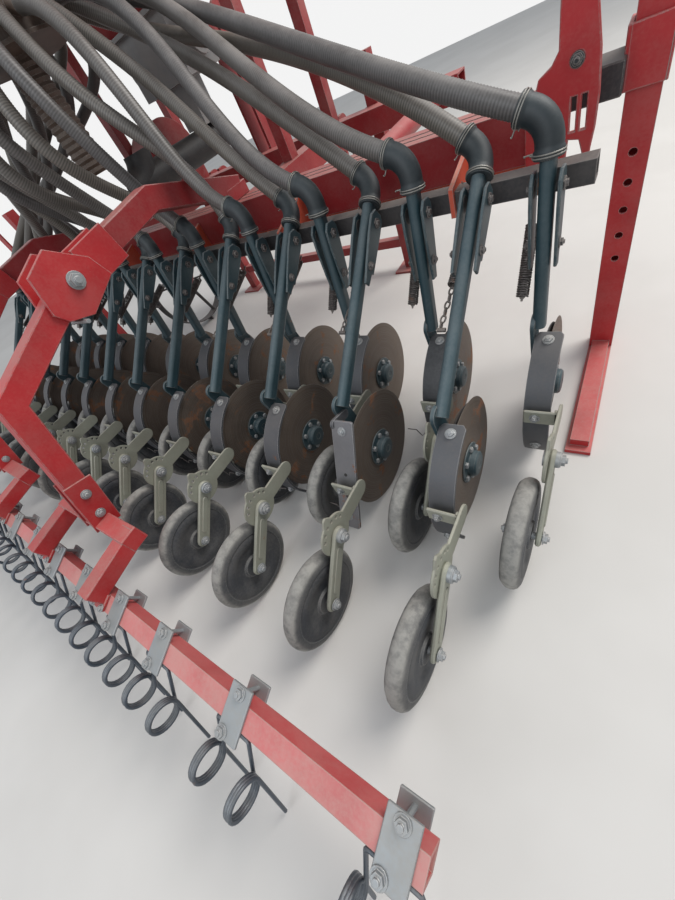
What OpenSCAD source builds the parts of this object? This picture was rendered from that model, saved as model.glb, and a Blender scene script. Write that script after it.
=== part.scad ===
// Three metre pneumatic seed drill: two staggered rows of single-disc coulters with
// press wheels, a following harrow, a central hopper and a radial distributor head.
// Millimetres. X runs across the machine, Y points forward, Z is up from the ground.

/* [Coulter rows] */
// Number of coulters, half of them in each row
coulters = 24; // [12:2:24]
// Distance between neighbouring seed rows
row_pitch = 125; // [115:1:140]
// Distance from the rear row of discs to the front row
row_stagger = 300; // [280:1:340]

/* [Disc] */
// Radius of the cutting disc
disc_r = 162.5; // [150:0.5:175]
// Height of the disc's axle over the ground
disc_axle_z = 172; // [170:1:200]
// Thickness of the cutting disc
disc_t = 4; // [3:0.5:6]
// Radius of the black closing disc beside the cutting disc
closing_disc_r = 148; // [130:1:158]
// Radius of the axle stub that carries the disc
disc_axle_r = 10; // [8:0.5:12]
// Radial running fit of every wheel and disc on its axle
running_fit = 0.06; // [0.03:0.01:0.1]

/* [Coulter arm] */
// Width of the flat-oval arm tube, across the machine
arm_w = 26; // [22:1:30]
// Depth of the flat-oval arm tube, along the machine
arm_h = 38; // [32:1:42]
// Length of arm above its pivot
arm_top_len = 62; // [50:1:80]
// Width of the curved strap behind the discs
strap_w = 56; // [44:1:60]
// Thickness of the curved strap
strap_t = 7; // [5:0.5:9]
// Gap from the disc's rim to the strap
strap_gap = 15; // [10:1:20]

/* [Press wheel] */
// Radius of the press wheel
press_r = 123; // [115:1:130]
// Width of the press wheel
press_w = 42; // [34:1:46]
// Height of the press wheel's tread over the ground when parked
press_lift = 1.5; // [1.2:0.1:4]
// Distance from the disc's axle back to the press arm's pivot
press_pivot_back = 304; // [295:1:320]
// Distance from the press arm's pivot back to its axle
press_arm_run = 123; // [115:1:130]
// Height of the press arm's pivot
press_pivot_z = 242; // [236:1:255]

/* [Coulter bar] */
// Size of the square coulter bar
bar_s = 40; // [36:1:50]
// Rear face of the coulter bar, from the rear row's disc axle
bar_y = 352; // [345:1:370]
// Top of the coulter bar
bar_top_z = 644; // [630:1:650]

/* [Main beam] */
// Length of the main beam across the machine
beam_len = 2800; // [2700:10:2860]
// Depth and height of the main beam
beam_s = 100; // [90:1:110]
// Rear face of the main beam
beam_y = 500; // [490:1:520]
// Top of the main beam
beam_top_z = 712; // [700:1:725]
// Wall of every square and rectangular frame tube
tube_wall = 6; // [4:0.5:8]

/* [Front frame] */
// Rear face of the front beam
front_y = 1220; // [1180:5:1260]
// Size of the front beam's square tube
front_s = 80; // [70:1:90]
// Length of the front beam
front_len = 2000; // [1900:10:2100]
// Distance of each inner rail from the machine's centre
rail_x = 450; // [420:5:480]
// Distance of each round tie tube from the machine's centre
tie_x = 912; // [900:1:930]
// Outside radius of the round tie tubes
tie_r = 30; // [25:1:34]

/* [Headstock] */
// Distance between the two lower hitch points
hitch_w = 825; // [800:5:870]
// Height of the lower hitch points when parked
hitch_z = 560; // [540:5:600]
// Height of the top hitch point over the lower ones
mast_h = 610; // [560:5:660]
// Diameter of the lower hitch bores
hitch_bore_d = 28.7; // [22.4:0.1:29]
// Diameter of the top hitch bore
top_bore_d = 25.5; // [19:0.1:32]

/* [Hopper] */
// Width of the hopper across the machine
hopper_w = 1240; // [1000:10:1300]
// Length of the hopper along the machine
hopper_l = 640; // [580:10:680]
// Height of the hopper's rim
hopper_top_z = 1960; // [1900:10:2000]
// Height where the hopper's sloping funnel starts
funnel_top_z = 1560; // [1520:10:1600]
// Wall of the hopper
hopper_wall = 4; // [3:0.5:6]
// Centre of the hopper along the machine
hopper_y = 1000; // [980:5:1020]

/* [Distributor] */
// Centre of the riser and head along the machine
head_y = 430; // [420:5:440]
// Height of the outlets' centre line
head_z = 1290; // [1260:5:1300]
// Angle of the outlets below the level
outlet_tilt = 18.5; // [15:0.5:22]
// Radius of the head's outlet ring
head_r = 178; // [175:1:190]
// Outside radius of the riser pipe
riser_r = 52; // [45:1:58]
// Outside radius of a seed hose
hose_r = 19; // [17:0.5:20]

/* [Harrow] */
// Size of the harrow's square bar
harrow_s = 42; // [40:1:50]
// Length of the harrow's bar
harrow_len = 2986; // [2900:2:3000]
// Front face of the harrow's bar, behind the rear row's disc axle
harrow_back = 654; // [645:1:665]
// Top of the harrow's bar
harrow_top_z = 259; // [250:1:270]
// Angle at which the harrow bar's top face falls to the rear
harrow_tilt = 20; // [0:1:25]
// Distance of each harrow arm from the machine's centre
harrow_arm_x = 440; // [436:1:446]
// Distance of the inner foot of each harrow arm from its arm
harrow_foot_in = 215; // [205:1:225]
// Distance of the outer foot of each harrow arm from its arm
harrow_foot_out = 160; // [150:1:170]
// Number of double-coil tines on the harrow
tine_count = 14; // [14:14]
// Distance between neighbouring double-coil tines, but for the outer two of each side
tine_pitch = 195; // [185:1:200]
// Radius of the tine's wire
tine_wire_r = 4; // [4:0.5:5]
// Radius of the tine's coil, to the middle of its wire
coil_r = 33; // [28:1:34]

/* [Stands] */
// Distance from the main beam's end to the stand leg's inner face
stand_out = 117; // [112:1:130]
// Width of the stand leg's square tube
leg_s = 60; // [50:1:65]
// Rear face of the stand's leg
leg_y = 640; // [635:1:660]
// Rear end of the stand's foot
foot_end_y = 204; // [190:1:300]
// Height of the stand leg's top
leg_top_z = 1000; // [960:5:1040]
// Clearance of each stand leg in its sleeve
leg_fit = 0.5; // [0.3:0.1:1]
// Distance of each front leg from the machine's centre
front_leg_x = 620; // [600:5:640]
// Height of the front legs
front_leg_h = 850; // [800:5:900]

/* [Drive wheel] */
// Radius of the land wheel, to its lugs' tips
drive_r = 285; // [260:5:290]
// Width of the land wheel
drive_w = 60; // [50:1:80]
// Distance of the land wheel from the machine's centre
drive_x = 800; // [780:5:820]
// Axle of the land wheel along the machine
drive_y = 960; // [940:5:980]

/* [Hidden] */
$fn = 48;
half = coulters / 2;
function unit_x(k) = (coulters - 1) / 2 * row_pitch - row_pitch * k;
function unit_front(k) = k % 2 == 0;
function unit_y(k) = unit_front(k) ? row_stagger : 0;
function unit_side(k) = k < half ? 1 : -1;
function press_name(k) = str("press_wheel_", k < 9 ? "0" : "", k + 1);

// The arm's pivot is on the bracket behind the coulter bar
pivot_y = bar_y - 52;
pivot_z = bar_top_z - 8;
strap_in_r = disc_r + strap_gap;
strap_out_r = strap_in_r + strap_t;
arm_foot_back = 38;
arm_foot_z = disc_axle_z + strap_out_r + 16;
disc_off = 20;
hub_w = 30;
closing_off = 8;
closing_t = 5;
hub_r = 32;
carrier_t = 9;
carrier_off = -15;
seat_gap = 0.3;
strap_off = carrier_off + carrier_t + seat_gap;
press_off = 42;
press_axle_z = press_r + press_lift;
press_axle_r = 8;
press_arm_off = press_off + press_w / 2 + 11;
press_plate_t = 8;
quadrant_r = 52;
quadrant_t = 6;

function unit(v) = v / norm(v);
function arm_dir(k) = unit([0, pivot_y - (unit_y(k) - arm_foot_back), pivot_z - arm_foot_z]);
function arm_top(k) = [unit_x(k), pivot_y, pivot_z] + arm_dir(k) * arm_top_len;

// The elbow turns from the arm's line to the hose's line
elbow_bend_r = 55;
elbow_r = hose_r + 4;
// The hose beside each harrow arm leaves more steeply, to rise past it; the middle ones lean in less
function hose_steep(k) = abs(abs(unit_x(k)) - harrow_arm_x - row_pitch) < row_pitch / 3;
function hose_under_arm(k) = abs(abs(unit_x(k)) - harrow_arm_x) < row_pitch / 3;
function hose_lean(k) = hose_steep(k) ? 0.224 : hose_under_arm(k) ? 0.795
    : (unit_front(k) ? 1.432 : 0.646) * min(1, abs(unit_x(k)) / 500);
function hose_dir(k) = unit([-unit_side(k) * hose_lean(k), 0.138, unit_front(k) ? 0.611 : 0.524]);
function turn_angle(a, b) = acos(a * b);
function turn_side(a, b) = unit(b - a * (a * b));
function elbow_end(k) = let (a = arm_dir(k), b = hose_dir(k), n = turn_side(a, b), t = turn_angle(a, b))
    arm_top(k) + n * elbow_bend_r * (1 - cos(t)) + a * elbow_bend_r * sin(t);

// Outlets run round the head in the same order as the coulters
outlet_pitch = 360 / coulters;
outlet_len = 40;
function outlet_angle(k) = unit_side(k) > 0
    ? 90 - outlet_pitch * (k + 0.5)
    : 90 + outlet_pitch * (coulters - k - 0.5);
function outlet_level(k) = [cos(outlet_angle(k)), sin(outlet_angle(k)), 0];
function outlet_dir(k) = outlet_level(k) * cos(outlet_tilt) - [0, 0, sin(outlet_tilt)];
function outlet_tip(k) = [0, head_y, head_z] + outlet_level(k) * head_r + outlet_dir(k) * outlet_len;
function hose_reach(k) = norm(outlet_tip(k) - elbow_end(k));
// Place in the fan of hoses, counted inwards from the outermost
function fan_place(k) = k < half ? k : coulters - 1 - k;
function hose_points(k) = let (a = elbow_end(k), d = outlet_tip(k), reach = hose_reach(k),
    b = a + hose_dir(k) * (30 + reach * (unit_front(k) ? 0.276 : 0.344)),
    c = d + outlet_dir(k) * (177 + reach * 0.127)
        + [0, 0, (unit_front(k) ? 165 : -74) - 20.6 * fan_place(k)])
    [for (i = [0 : hose_steps]) let (t = i / hose_steps, s = 1 - t)
        s * s * s * a + 3 * s * s * t * b + 3 * s * t * t * c + t * t * t * d];
hose_steps = 16;
hose_sides = 8;

// Air path, metering and hopper
duct_z = 850;
duct_bend = 90;
riser_base_z = duct_z + duct_bend;
fan_w = 130;
fan_x = -400;
fan_r = 150;
fan_inlet_r = 85;
fan_shaft_r = 12;
funnel_low_z = 1230;
mouth_w = 300;
mouth_l = 180;
post_y = 250;
lid_hinge_x = 420;
lid_hinge_out = 34;
lid_hinge_z = hopper_top_z - 14;

// Harrow, stands and land wheel
stand_x = beam_len / 2 + stand_out;
harrow_hinge = [-94, 802];
harrow_pin_r = 12;
coil_gap = 42;
// Middle of the harrow bar, and a point given along and square to its tilted top face
harrow_mid = [-harrow_back - harrow_s / 2, harrow_top_z - harrow_s / 2];
function on_bar(along, up) = harrow_mid + [
    along * cos(harrow_tilt) - up * sin(harrow_tilt),
    along * sin(harrow_tilt) + up * cos(harrow_tilt)
];
tine_eye = on_bar(-harrow_s / 2 - tine_wire_r - 0.4, harrow_s / 2 - tine_wire_r - 0.3);
coil_y = harrow_mid.x - 110;
coil_z = harrow_mid.y - 49;
tine_lean = 19;
tine_tip_z = 11.5;
tine_leg = (coil_z - coil_r * sin(tine_lean) - tine_tip_z) / cos(tine_lean);
front_leg = 50;
front_pad = 140;
front_leg_y = front_y + front_s + 8;
drive_axle_r = 14;

// Reach of the lower hitch ears in front of the front beam, and their rounded end
ear_reach = 90;
ear_r = 32;
// The origin lies on the ground, under the middle of the machine's width and length
front_tip = front_y + front_s + ear_reach + ear_r;
rear_tip = coil_y - coil_r - tine_wire_r;
origin_y = (front_tip + rear_tip) / 2;

// Moves a solid from the working frame to the part's frame
module placed() translate([0, -origin_y, 0]) children();
// Extrudes a side view, whose x is the machine's Y and whose y is Z, across the machine
module side(x, w) translate([x, 0, 0]) rotate([90, 0, 90]) linear_extrude(w) children();
// Places something at a coulter's disc axle, on the ground
module at_unit(k) translate([unit_x(k), unit_y(k), 0]) children();
// Lies a round bar along X
module across(x, y, z, len, r) translate([x, y, z]) rotate([0, 90, 0]) cylinder(h = len, r = r);
module stadium(w, h) {
    square([w, h - w], center = true);
    for (s = [-1, 1]) translate([0, s * (h - w) / 2]) circle(d = w);
}
// A rounded bar between two points of a side view
module strut(a, b, w) {
    d = b - a;
    translate(a) rotate(atan2(d.y, d.x)) {
        translate([0, -w / 2]) square([norm(d), w]);
        circle(d = w);
        translate([norm(d), 0]) circle(d = w);
    }
}
// A hollow square tube along X
module cross_tube(len, s, wall, y, z) translate([-len / 2, y, z]) difference() {
    cube([len, s, s]);
    translate([-1, wall, wall]) cube([len + 2, s - 2 * wall, s - 2 * wall]);
}
// Turns the local frame so that its x and y axes run along two given directions
module aligned(x, y) {
    z = cross(x, y);
    rotate([atan2(y.z, z.z), -asin(x.z), atan2(x.y, x.x)]) children();
}
// Points local z along a direction
module along(d) rotate([0, acos(d.z), atan2(d.y, d.x)]) children();
// A round tube swept along points, with flat ends square to two given directions
module swept(points, r, sides, from, to) {
    n = len(points);
    tangents = [for (i = [0 : n - 1]) i == 0 ? from : i == n - 1 ? to : unit(points[i + 1] - points[i - 1])];
    rings = [for (i = [0 : n - 1]) let (t = tangents[i], u = unit(cross(t, [0, 0, 1] + 0.001 * [1, 1, 0])),
        v = cross(t, u)) [for (j = [0 : sides - 1]) points[i] + r * (u * cos(360 * j / sides) + v * sin(360 * j / sides))]];
    polyhedron(
        points = [for (ring = rings) each ring],
        faces = concat(
            [[for (j = [0 : sides - 1]) j]],
            [[for (j = [0 : sides - 1]) n * sides - 1 - j]],
            [for (i = [0 : n - 2], j = [0 : sides - 1]) let (a = i * sides, m = (j + 1) % sides)
                [a + j, a + sides + j, a + sides + m, a + m]]
        )
    );
}

// Main beam, a square tube with two rolled grooves along its top
module main_beam() color("firebrick") placed() difference() {
    cross_tube(beam_len, beam_s, tube_wall, beam_y, beam_top_z - beam_s);
    for (g = [0.3, 0.62])
        translate([-beam_len / 2 - 1, beam_y + beam_s * g, beam_top_z - 2]) cube([beam_len + 2, 8, 3]);
}

// Front beam, inner rails and round tie tubes, welded into one frame
module front_frame() color("firebrick") placed() {
    rail_s = 80;
    front_z = beam_top_z - beam_s + 10;
    cross_tube(front_len, front_s, tube_wall, front_y, front_z);
    for (s = [-1, 1]) {
        translate([s * rail_x - rail_s / 2, beam_y + beam_s, front_z])
            cube([rail_s, front_y - beam_y - beam_s, rail_s]);
        translate([s * tie_x, beam_y + beam_s, front_z + rail_s / 2]) rotate([-90, 0, 0])
            cylinder(h = front_y - beam_y - beam_s, r = tie_r);
        sleeve = front_leg + 2 * leg_fit + 2 * tube_wall;
        translate([s * front_leg_x - sleeve / 2, front_y + front_s, front_z]) difference() {
            cube([sleeve, front_leg_y - front_y - front_s + front_leg + leg_fit + tube_wall, rail_s]);
            translate([tube_wall, front_leg_y - front_y - front_s - leg_fit, -1])
                cube([front_leg + 2 * leg_fit, front_leg + 2 * leg_fit, rail_s + 2]);
        }
    }
}

// End plates on the main beam with the dark arms and sleeves that hold the stands
module side_plates() color("firebrick") placed() for (s = [-1, 1]) mirror([s < 0 ? 1 : 0, 0, 0]) {
    plate_t = 12;
    plate_in = beam_len / 2 - 40;
    translate([plate_in, beam_y, 0]) rotate([90, 0, 0]) linear_extrude(plate_t) difference() {
        union() {
            translate([0, beam_top_z - beam_s - 20]) square([100, beam_s + 60]);
            translate([28, beam_top_z + 30]) square([72, 270]);
        }
        translate([0, beam_top_z + 68]) circle(r = 29);
        for (x = [30, 52]) translate([x, beam_top_z - beam_s - 21]) square([9, 60]);
    }
    sleeve = leg_s + 2 * leg_fit + 2 * tube_wall;
    difference() {
        union() {
            translate([stand_x - leg_fit - tube_wall, leg_y - leg_fit - tube_wall, beam_top_z - 60])
                cube([sleeve, sleeve, 100]);
            translate([plate_in, beam_y + beam_s, beam_top_z - 60])
                cube([stand_x - plate_in, leg_y - beam_y - beam_s + leg_s, 60]);
        }
        translate([stand_x - leg_fit, leg_y - leg_fit, 0]) cube([leg_s + 2 * leg_fit, leg_s + 2 * leg_fit, leg_top_z]);
    }
}

// Three-point headstock: a mast of two plates and two ears at each lower hitch point
module headstock() color("firebrick") placed() {
    ear_t = 16;
    ear_gap = 60;
    mast_t = 14;
    mast_gap = 60;
    low = [front_y + front_s + ear_reach, hitch_z];
    top = [front_y + front_s + 30, hitch_z + mast_h];
    foot = [front_y + front_s, beam_top_z - 40];
    for (s = [-1, 1]) {
        for (e = [0, 1]) {
            x = s * hitch_w / 2 + (e - 0.5) * (ear_gap + ear_t) - ear_t / 2;
            side(x, ear_t) difference() {
                union() {
                    strut(low, [foot.x + ear_r + seat_gap, foot.y + 10], 2 * ear_r);
                    translate([foot.x, foot.y - 50]) square([40, 90]);
                }
                translate(low) circle(d = hitch_bore_d);
            }
        }
        side(s * (mast_gap / 2 + mast_t / 2) - mast_t / 2, mast_t) difference() {
            union() {
                strut(top, [foot.x + 42, foot.y], 80);
                translate([foot.x, foot.y - 50]) square([60, 90]);
            }
            translate(top) circle(d = top_bore_d);
        }
    }
}

// Dark square bar that carries the coulters
module coulter_bar() color("dimgray") placed()
    cross_tube(2 * (stand_x - 12), bar_s, 5, bar_y, bar_top_z - bar_s);

// Brackets between the main beam and the coulter bar
module bar_brackets() color("orangered") placed() {
    bracket_t = 10;
    translate([-beam_len / 2, beam_y + 12, beam_top_z - beam_s - 56]) cube([beam_len, 8, 56]);
    for (x = [-5 : 2 : 5]) if (abs(x) * 2 * row_pitch < beam_len / 2 - bracket_t)
        side(x * 2 * row_pitch - bracket_t / 2, bracket_t) difference() {
        polygon([
            [bar_y - 8, bar_top_z + 8], [bar_y - 8, bar_top_z - bar_s - 8], [beam_y, beam_top_z - beam_s - 26],
            [beam_y + beam_s, beam_top_z - beam_s - 26], [beam_y + beam_s, beam_top_z - beam_s],
            [beam_y, beam_top_z - beam_s], [beam_y, beam_top_z - 20]
        ]);
        translate([bar_y, bar_top_z - bar_s]) square(bar_s);
    }
}

// Stepped pivot brackets that clamp each arm behind the coulter bar
module arm_brackets() color("darkslategray") placed() for (k = [0 : coulters - 1]) {
    t = 6;
    for (s = [-1, 1]) side(unit_x(k) + s * (arm_w / 2 + 0.3 + t / 2) - t / 2, t) difference() {
        union() {
            strut([pivot_y, pivot_z], [bar_y - 10, bar_top_z - bar_s / 2], 34);
            translate([bar_y - 12, bar_top_z - bar_s - 8]) square([bar_s + 20, bar_s + 16]);
        }
        translate([bar_y, bar_top_z - bar_s]) square(bar_s);
    }
    across(unit_x(k) - arm_w / 2 - 16, pivot_y, pivot_z, arm_w + 32, 7.9);
}

// One coulter arm: flat-oval tube, seed spout at the top, carrier and axle stub at the disc
module coulter_arm(k) {
    d = arm_dir(k);
    foot = [unit_x(k), unit_y(k) - arm_foot_back, arm_foot_z];
    reach = norm(arm_top(k) - foot);
    difference() {
        union() {
            translate(foot) rotate([-atan2(d.y, d.z), 0, 0]) linear_extrude(reach - 20) stadium(arm_w, arm_h);
            translate(foot) rotate([-atan2(d.y, d.z), 0, 0]) cylinder(h = reach, r = arm_w / 2);
        }
        across(unit_x(k) - 40, pivot_y, pivot_z, 80, 8);
    }
    at_unit(k) {
        side(carrier_off, carrier_t) {
            strut([-arm_foot_back, arm_foot_z + 4], [0, disc_axle_z], 46);
            translate([0, disc_axle_z]) circle(r = 30);
        }
        across(carrier_off, 0, disc_axle_z, hub_w + disc_off + 14, disc_axle_r);
    }
}
module coulter_arms_front() color("darkslategray") placed() for (k = [0 : 2 : coulters - 1]) coulter_arm(k);
module coulter_arms_rear() color("darkslategray") placed() for (k = [1 : 2 : coulters - 1]) coulter_arm(k);

// One strap, bent round the back of the discs
module strap(k) at_unit(k) {
    from = 101;
    to = 212;
    translate([strap_off, 0, disc_axle_z]) rotate([0, 90, 0]) rotate([0, 0, 90 + from])
        rotate_extrude(angle = to - from, $fn = 96) translate([strap_in_r, 0]) square([strap_t, strap_w]);
}
module straps_front() color("slategray") placed() for (k = [0 : 2 : coulters - 1]) strap(k);
// A straight plate that stands in for one worn strap, with its lug on the carrier
plate_unit = 3;
module plate_strap(k) at_unit(k) {
    lean = [0.5, 0.866];
    rear = [-strap_out_r + 8.9, disc_axle_z + 44];
    top = rear + lean * 180;
    side(strap_off, strap_w + 4) difference() {
        strut(rear - lean * 110, top, strap_t);
        translate(rear - lean * 20) circle(r = 2, $fn = 24);
    }
    side(strap_off, 8) strut([-arm_foot_back - 4, arm_foot_z - 22], top - [2, 8], 24);
}
module straps_rear() color("slategray") placed() for (k = [1 : 2 : coulters - 1])
    if (k == plate_unit) plate_strap(k); else strap(k);

// One press arm with its toothless quadrant, pivot boss and axle
module press_arm(k) at_unit(k) {
    boss = [-press_pivot_back, press_pivot_z];
    axle = [-press_pivot_back - press_arm_run, press_axle_z];
    inner = press_arm_off - 2 - quadrant_t;
    seat = [-strap_out_r + 8, disc_axle_z + 66];
    side(inner, quadrant_t) difference() {
        union() {
            translate(boss) circle(r = quadrant_r);
            strut(boss, seat, 46);
        }
        for (a = [30 : 30 : 150]) translate(boss) rotate(a) translate([quadrant_r - 10, 0]) circle(r = 4, $fn = 24);
    }
    // the bent foot that bolts to the strap
    foot_low = 46;
    foot_front = -sqrt(strap_out_r * strap_out_r - foot_low * foot_low) - seat_gap;
    translate([strap_off + 4, foot_front - 16, disc_axle_z + foot_low]) cube([inner - strap_off, 16, 40]);
    across(inner - 6, boss.x, boss.y, 34, 17);
    side(press_arm_off, press_plate_t) strut(boss, axle, 42);
    across(press_off - press_w / 2 - 4, axle.x, axle.y, press_arm_off + press_plate_t + 10 - press_off + press_w / 2, press_axle_r);
}
module press_arms_front() color("cornsilk") placed() for (k = [0 : 2 : coulters - 1]) press_arm(k);
module press_arms_rear() color("cornsilk") placed() for (k = [1 : 2 : coulters - 1]) press_arm(k);

// One row's discs: cutting disc, closing disc and hub, which turn about the row's axle line
module disc_set() {
    across(closing_off, 0, 0, disc_off + hub_w - closing_off, hub_r);
    translate([disc_off, 0, 0]) rotate([0, 90, 0]) cylinder(h = disc_t, r = disc_r, $fn = 96);
    translate([closing_off, 0, 0]) rotate([0, 90, 0]) cylinder(h = closing_t, r = closing_disc_r, $fn = 96);
}
module disc_row(first) placed() for (k = [first : 2 : coulters - 1])
    translate([unit_x(k), unit_y(k), disc_axle_z]) difference() {
        disc_set();
        across(0, 0, 0, 90, disc_axle_r + running_fit);
    }
module disc_row_front() color("saddlebrown") disc_row(0);
module disc_row_rear() color("saddlebrown") disc_row(1);

// One domed press wheel
module press_wheel(k) color("dimgray") placed()
    translate([unit_x(k) + press_off, unit_y(k) - press_pivot_back - press_arm_run, press_axle_z])
    rotate([0, 90, 0]) rotate_extrude($fn = 96) {
        translate([press_axle_r + running_fit, -press_w / 2 - 3]) square([18, press_w + 6]);
        translate([press_axle_r + running_fit, -4]) square([60, 8]);
        translate([60, -press_w / 2]) square([press_r - 60 - 14, press_w]);
        intersection() {
            translate([press_r - 46, 0]) circle(r = 46, $fn = 96);
            translate([press_r - 46, -press_w / 2]) square([46, press_w]);
        }
    }

// Extension springs, drawn tight, each on a short chain pinned to its arm
spring_r = 13;
spring_turns = 14;
spring_turn = 10;
chain_r = 5;
spring_off = -arm_w / 2 - 19;
spring_high_y = beam_y + 8;
spring_high_z = beam_top_z - beam_s - 34;
function arm_point(k, share) = let (foot = [unit_y(k) - arm_foot_back, arm_foot_z])
    foot + ([pivot_y, pivot_z] - foot) * share;
function spring_low(k) = arm_point(k, 0.42);
module springs() color("dimgray") placed() for (k = [0 : coulters - 1]) {
    low = spring_low(k);
    d = unit([spring_high_y, spring_high_z] - low);
    reach = norm([spring_high_y, spring_high_z] - low);
    coil = spring_turns * spring_turn;
    coil_from = reach - coil - 20;
    translate([unit_x(k) + spring_off, low.x, low.y]) rotate([-atan2(d.x, d.y), 0, 0]) {
        translate([0, 0, coil_from]) rotate_extrude($fn = 24) polygon(concat(
            [[0, 0]],
            [for (i = [0 : spring_turns - 1]) each [[spring_r - 3, i * spring_turn], [spring_r, (i + 0.5) * spring_turn]]],
            [[spring_r - 3, coil], [0, coil]]
        ));
        cylinder(h = coil_from + 1, r = chain_r);
        translate([0, 0, coil_from + coil - 1]) cylinder(h = 21, r = 4);
    }
    across(unit_x(k) + spring_off - 6, low.x, low.y, 6 - spring_off - arm_w / 2 - seat_gap, 5);
}

// Rubber elbows that join each arm's spout to its hose
module elbows() color("black") placed() for (k = [0 : coulters - 1]) {
    a = arm_dir(k);
    b = hose_dir(k);
    n = turn_side(a, b);
    translate(arm_top(k) + n * elbow_bend_r) aligned(-n, a)
        rotate_extrude(angle = turn_angle(a, b)) translate([elbow_bend_r, 0]) circle(r = elbow_r);
}

// Seed hoses from the head's outlets to the elbows
module seed_hoses() color("gray") placed() for (k = [0 : coulters - 1])
    swept(hose_points(k), hose_r, hose_sides, hose_dir(k), -outlet_dir(k));

// Riser pipe with its bellows and the head with its dome and outlets
module distributor() color("saddlebrown") placed() {
    rib = 9;
    ribs = floor((head_z - 45 - riser_base_z) / (2 * rib));
    translate([0, head_y, riser_base_z]) rotate_extrude() polygon(concat(
        [[0, 0]],
        [for (i = [0 : ribs - 1]) each [[riser_r - 5, i * 2 * rib], [riser_r, (i * 2 + 1) * rib]]],
        [[riser_r - 5, ribs * 2 * rib], [riser_r - 5, head_z - 40 - riser_base_z], [0, head_z - 40 - riser_base_z]]
    ));
    translate([0, head_y, head_z]) rotate_extrude($fn = 96) {
        translate([0, -45]) square([head_r, 90]);
        translate([0, -53]) square([head_r + 8, 9]);
        translate([0, 44]) square([head_r + 8, 9]);
        intersection() {
            translate([0, -150]) circle(r = 250, $fn = 128);
            translate([0, 52]) square([head_r - 20, 100]);
        }
    }
    for (k = [0 : coulters - 1]) translate(outlet_tip(k) - outlet_dir(k) * (outlet_len + 10))
        along(outlet_dir(k)) cylinder(h = outlet_len + 10, r = hose_r - 0.3);
}

// Air pipes: from the fan to the metering unit's foot and on to the riser's elbow
module air_duct() color("dimgray") placed() {
    translate([0, head_y + duct_bend, riser_base_z]) rotate([90, 0, -90]) mirror([1, 0, 0]) mirror([0, 1, 0])
        rotate_extrude(angle = 90) translate([duct_bend, 0]) circle(r = riser_r);
    translate([0, head_y + duct_bend, duct_z]) rotate([-90, 0, 0])
        cylinder(h = hopper_y - head_y - duct_bend + 70, r = riser_r);
    across(fan_x + fan_w + 0.3, hopper_y, duct_z, -fan_x - fan_w - 20, riser_r - 6);
}

// Fan housing with its open inlet, on two feet
module fan_housing() color("firebrick") placed() translate([fan_x, hopper_y, duct_z]) {
    rotate([0, 90, 0]) difference() {
        cylinder(h = fan_w, r = fan_r, $fn = 96);
        translate([0, 0, 5]) cylinder(h = fan_w - 10, r = fan_r - 5, $fn = 96);
        translate([0, 0, -1]) cylinder(h = 10, r = fan_inlet_r, $fn = 96);
        translate([0, 0, fan_w - 6]) cylinder(h = 10, r = fan_shaft_r + 0.06);
    }
    for (y = [-90, 60]) translate([10, y, -duct_z + beam_top_z - 10])
        cube([fan_w - 20, 30, duct_z - beam_top_z + 10 - sqrt(fan_r * fan_r - 92 * 92)]);
    translate([-rail_x + 40 - fan_x, -fan_r * 0.6, beam_top_z - 20 - duct_z]) cube([rail_x - 40 + fan_x + fan_w, fan_r * 1.2, 10]);
}
module fan_rotor() color("silver") placed() translate([fan_x, hopper_y, duct_z]) rotate([0, 90, 0]) {
    cylinder(h = fan_w, r = fan_shaft_r);
    translate([0, 0, fan_w - 20]) cylinder(h = 6, r = fan_r - 22, $fn = 96);
    for (a = [0 : 30 : 330]) rotate(a) translate([40, -2, 16]) cube([fan_r - 64, 4, fan_w - 33]);
}

// Metering unit between the hopper's mouth and the air pipe
module metering_unit() color("gray") placed() {
    mouth_z = funnel_low_z;
    meter_h = 180;
    translate([-mouth_w / 2 - 20, hopper_y - mouth_l / 2 - 20, mouth_z - 12.3])
        cube([mouth_w + 40, mouth_l + 40, 12]);
    translate([-mouth_w / 2, hopper_y - mouth_l / 2, mouth_z - meter_h - 10]) cube([mouth_w, mouth_l, meter_h]);
    translate([-60, hopper_y - 45, duct_z + riser_r + seat_gap]) cube([120, 90, mouth_z - meter_h - 8 - duct_z - riser_r - seat_gap]);
    across(-mouth_w / 2 - 40, hopper_y, mouth_z - 100, mouth_w + 80, 62);
    across(mouth_w / 2 + 30, hopper_y, mouth_z - 100, 40, 12);
}

// Hopper: straight walls over a sloping funnel, open at its mouth
module hopper_shape(inset) {
    translate([-hopper_w / 2 + inset, -hopper_l / 2 + inset, funnel_top_z])
        cube([hopper_w - 2 * inset, hopper_l - 2 * inset, hopper_top_z - funnel_top_z + inset]);
    hull() {
        translate([-hopper_w / 2 + inset, -hopper_l / 2 + inset, funnel_top_z])
            cube([hopper_w - 2 * inset, hopper_l - 2 * inset, 0.01]);
        translate([-mouth_w / 2 + inset, -mouth_l / 2 + inset, funnel_low_z - inset])
            cube([mouth_w - 2 * inset, mouth_l - 2 * inset, 0.01]);
    }
}
module hopper() color("firebrick") placed() translate([0, hopper_y, 0]) {
    difference() {
        union() {
            hopper_shape(0);
            translate([-hopper_w / 2 - 8, -hopper_l / 2 - 8, hopper_top_z - 12]) cube([hopper_w + 16, hopper_l + 16, 12]);
        }
        hopper_shape(hopper_wall);
    }
    for (s = [-1, 1]) {
        side(s * lid_hinge_x - 4, 8) strut([hopper_l / 2 + lid_hinge_out, lid_hinge_z], [hopper_l / 2 + 6, lid_hinge_z - 30], 22);
        across(s * lid_hinge_x - 16, hopper_l / 2 + lid_hinge_out, lid_hinge_z, 32, 6);
    }
}
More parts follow.
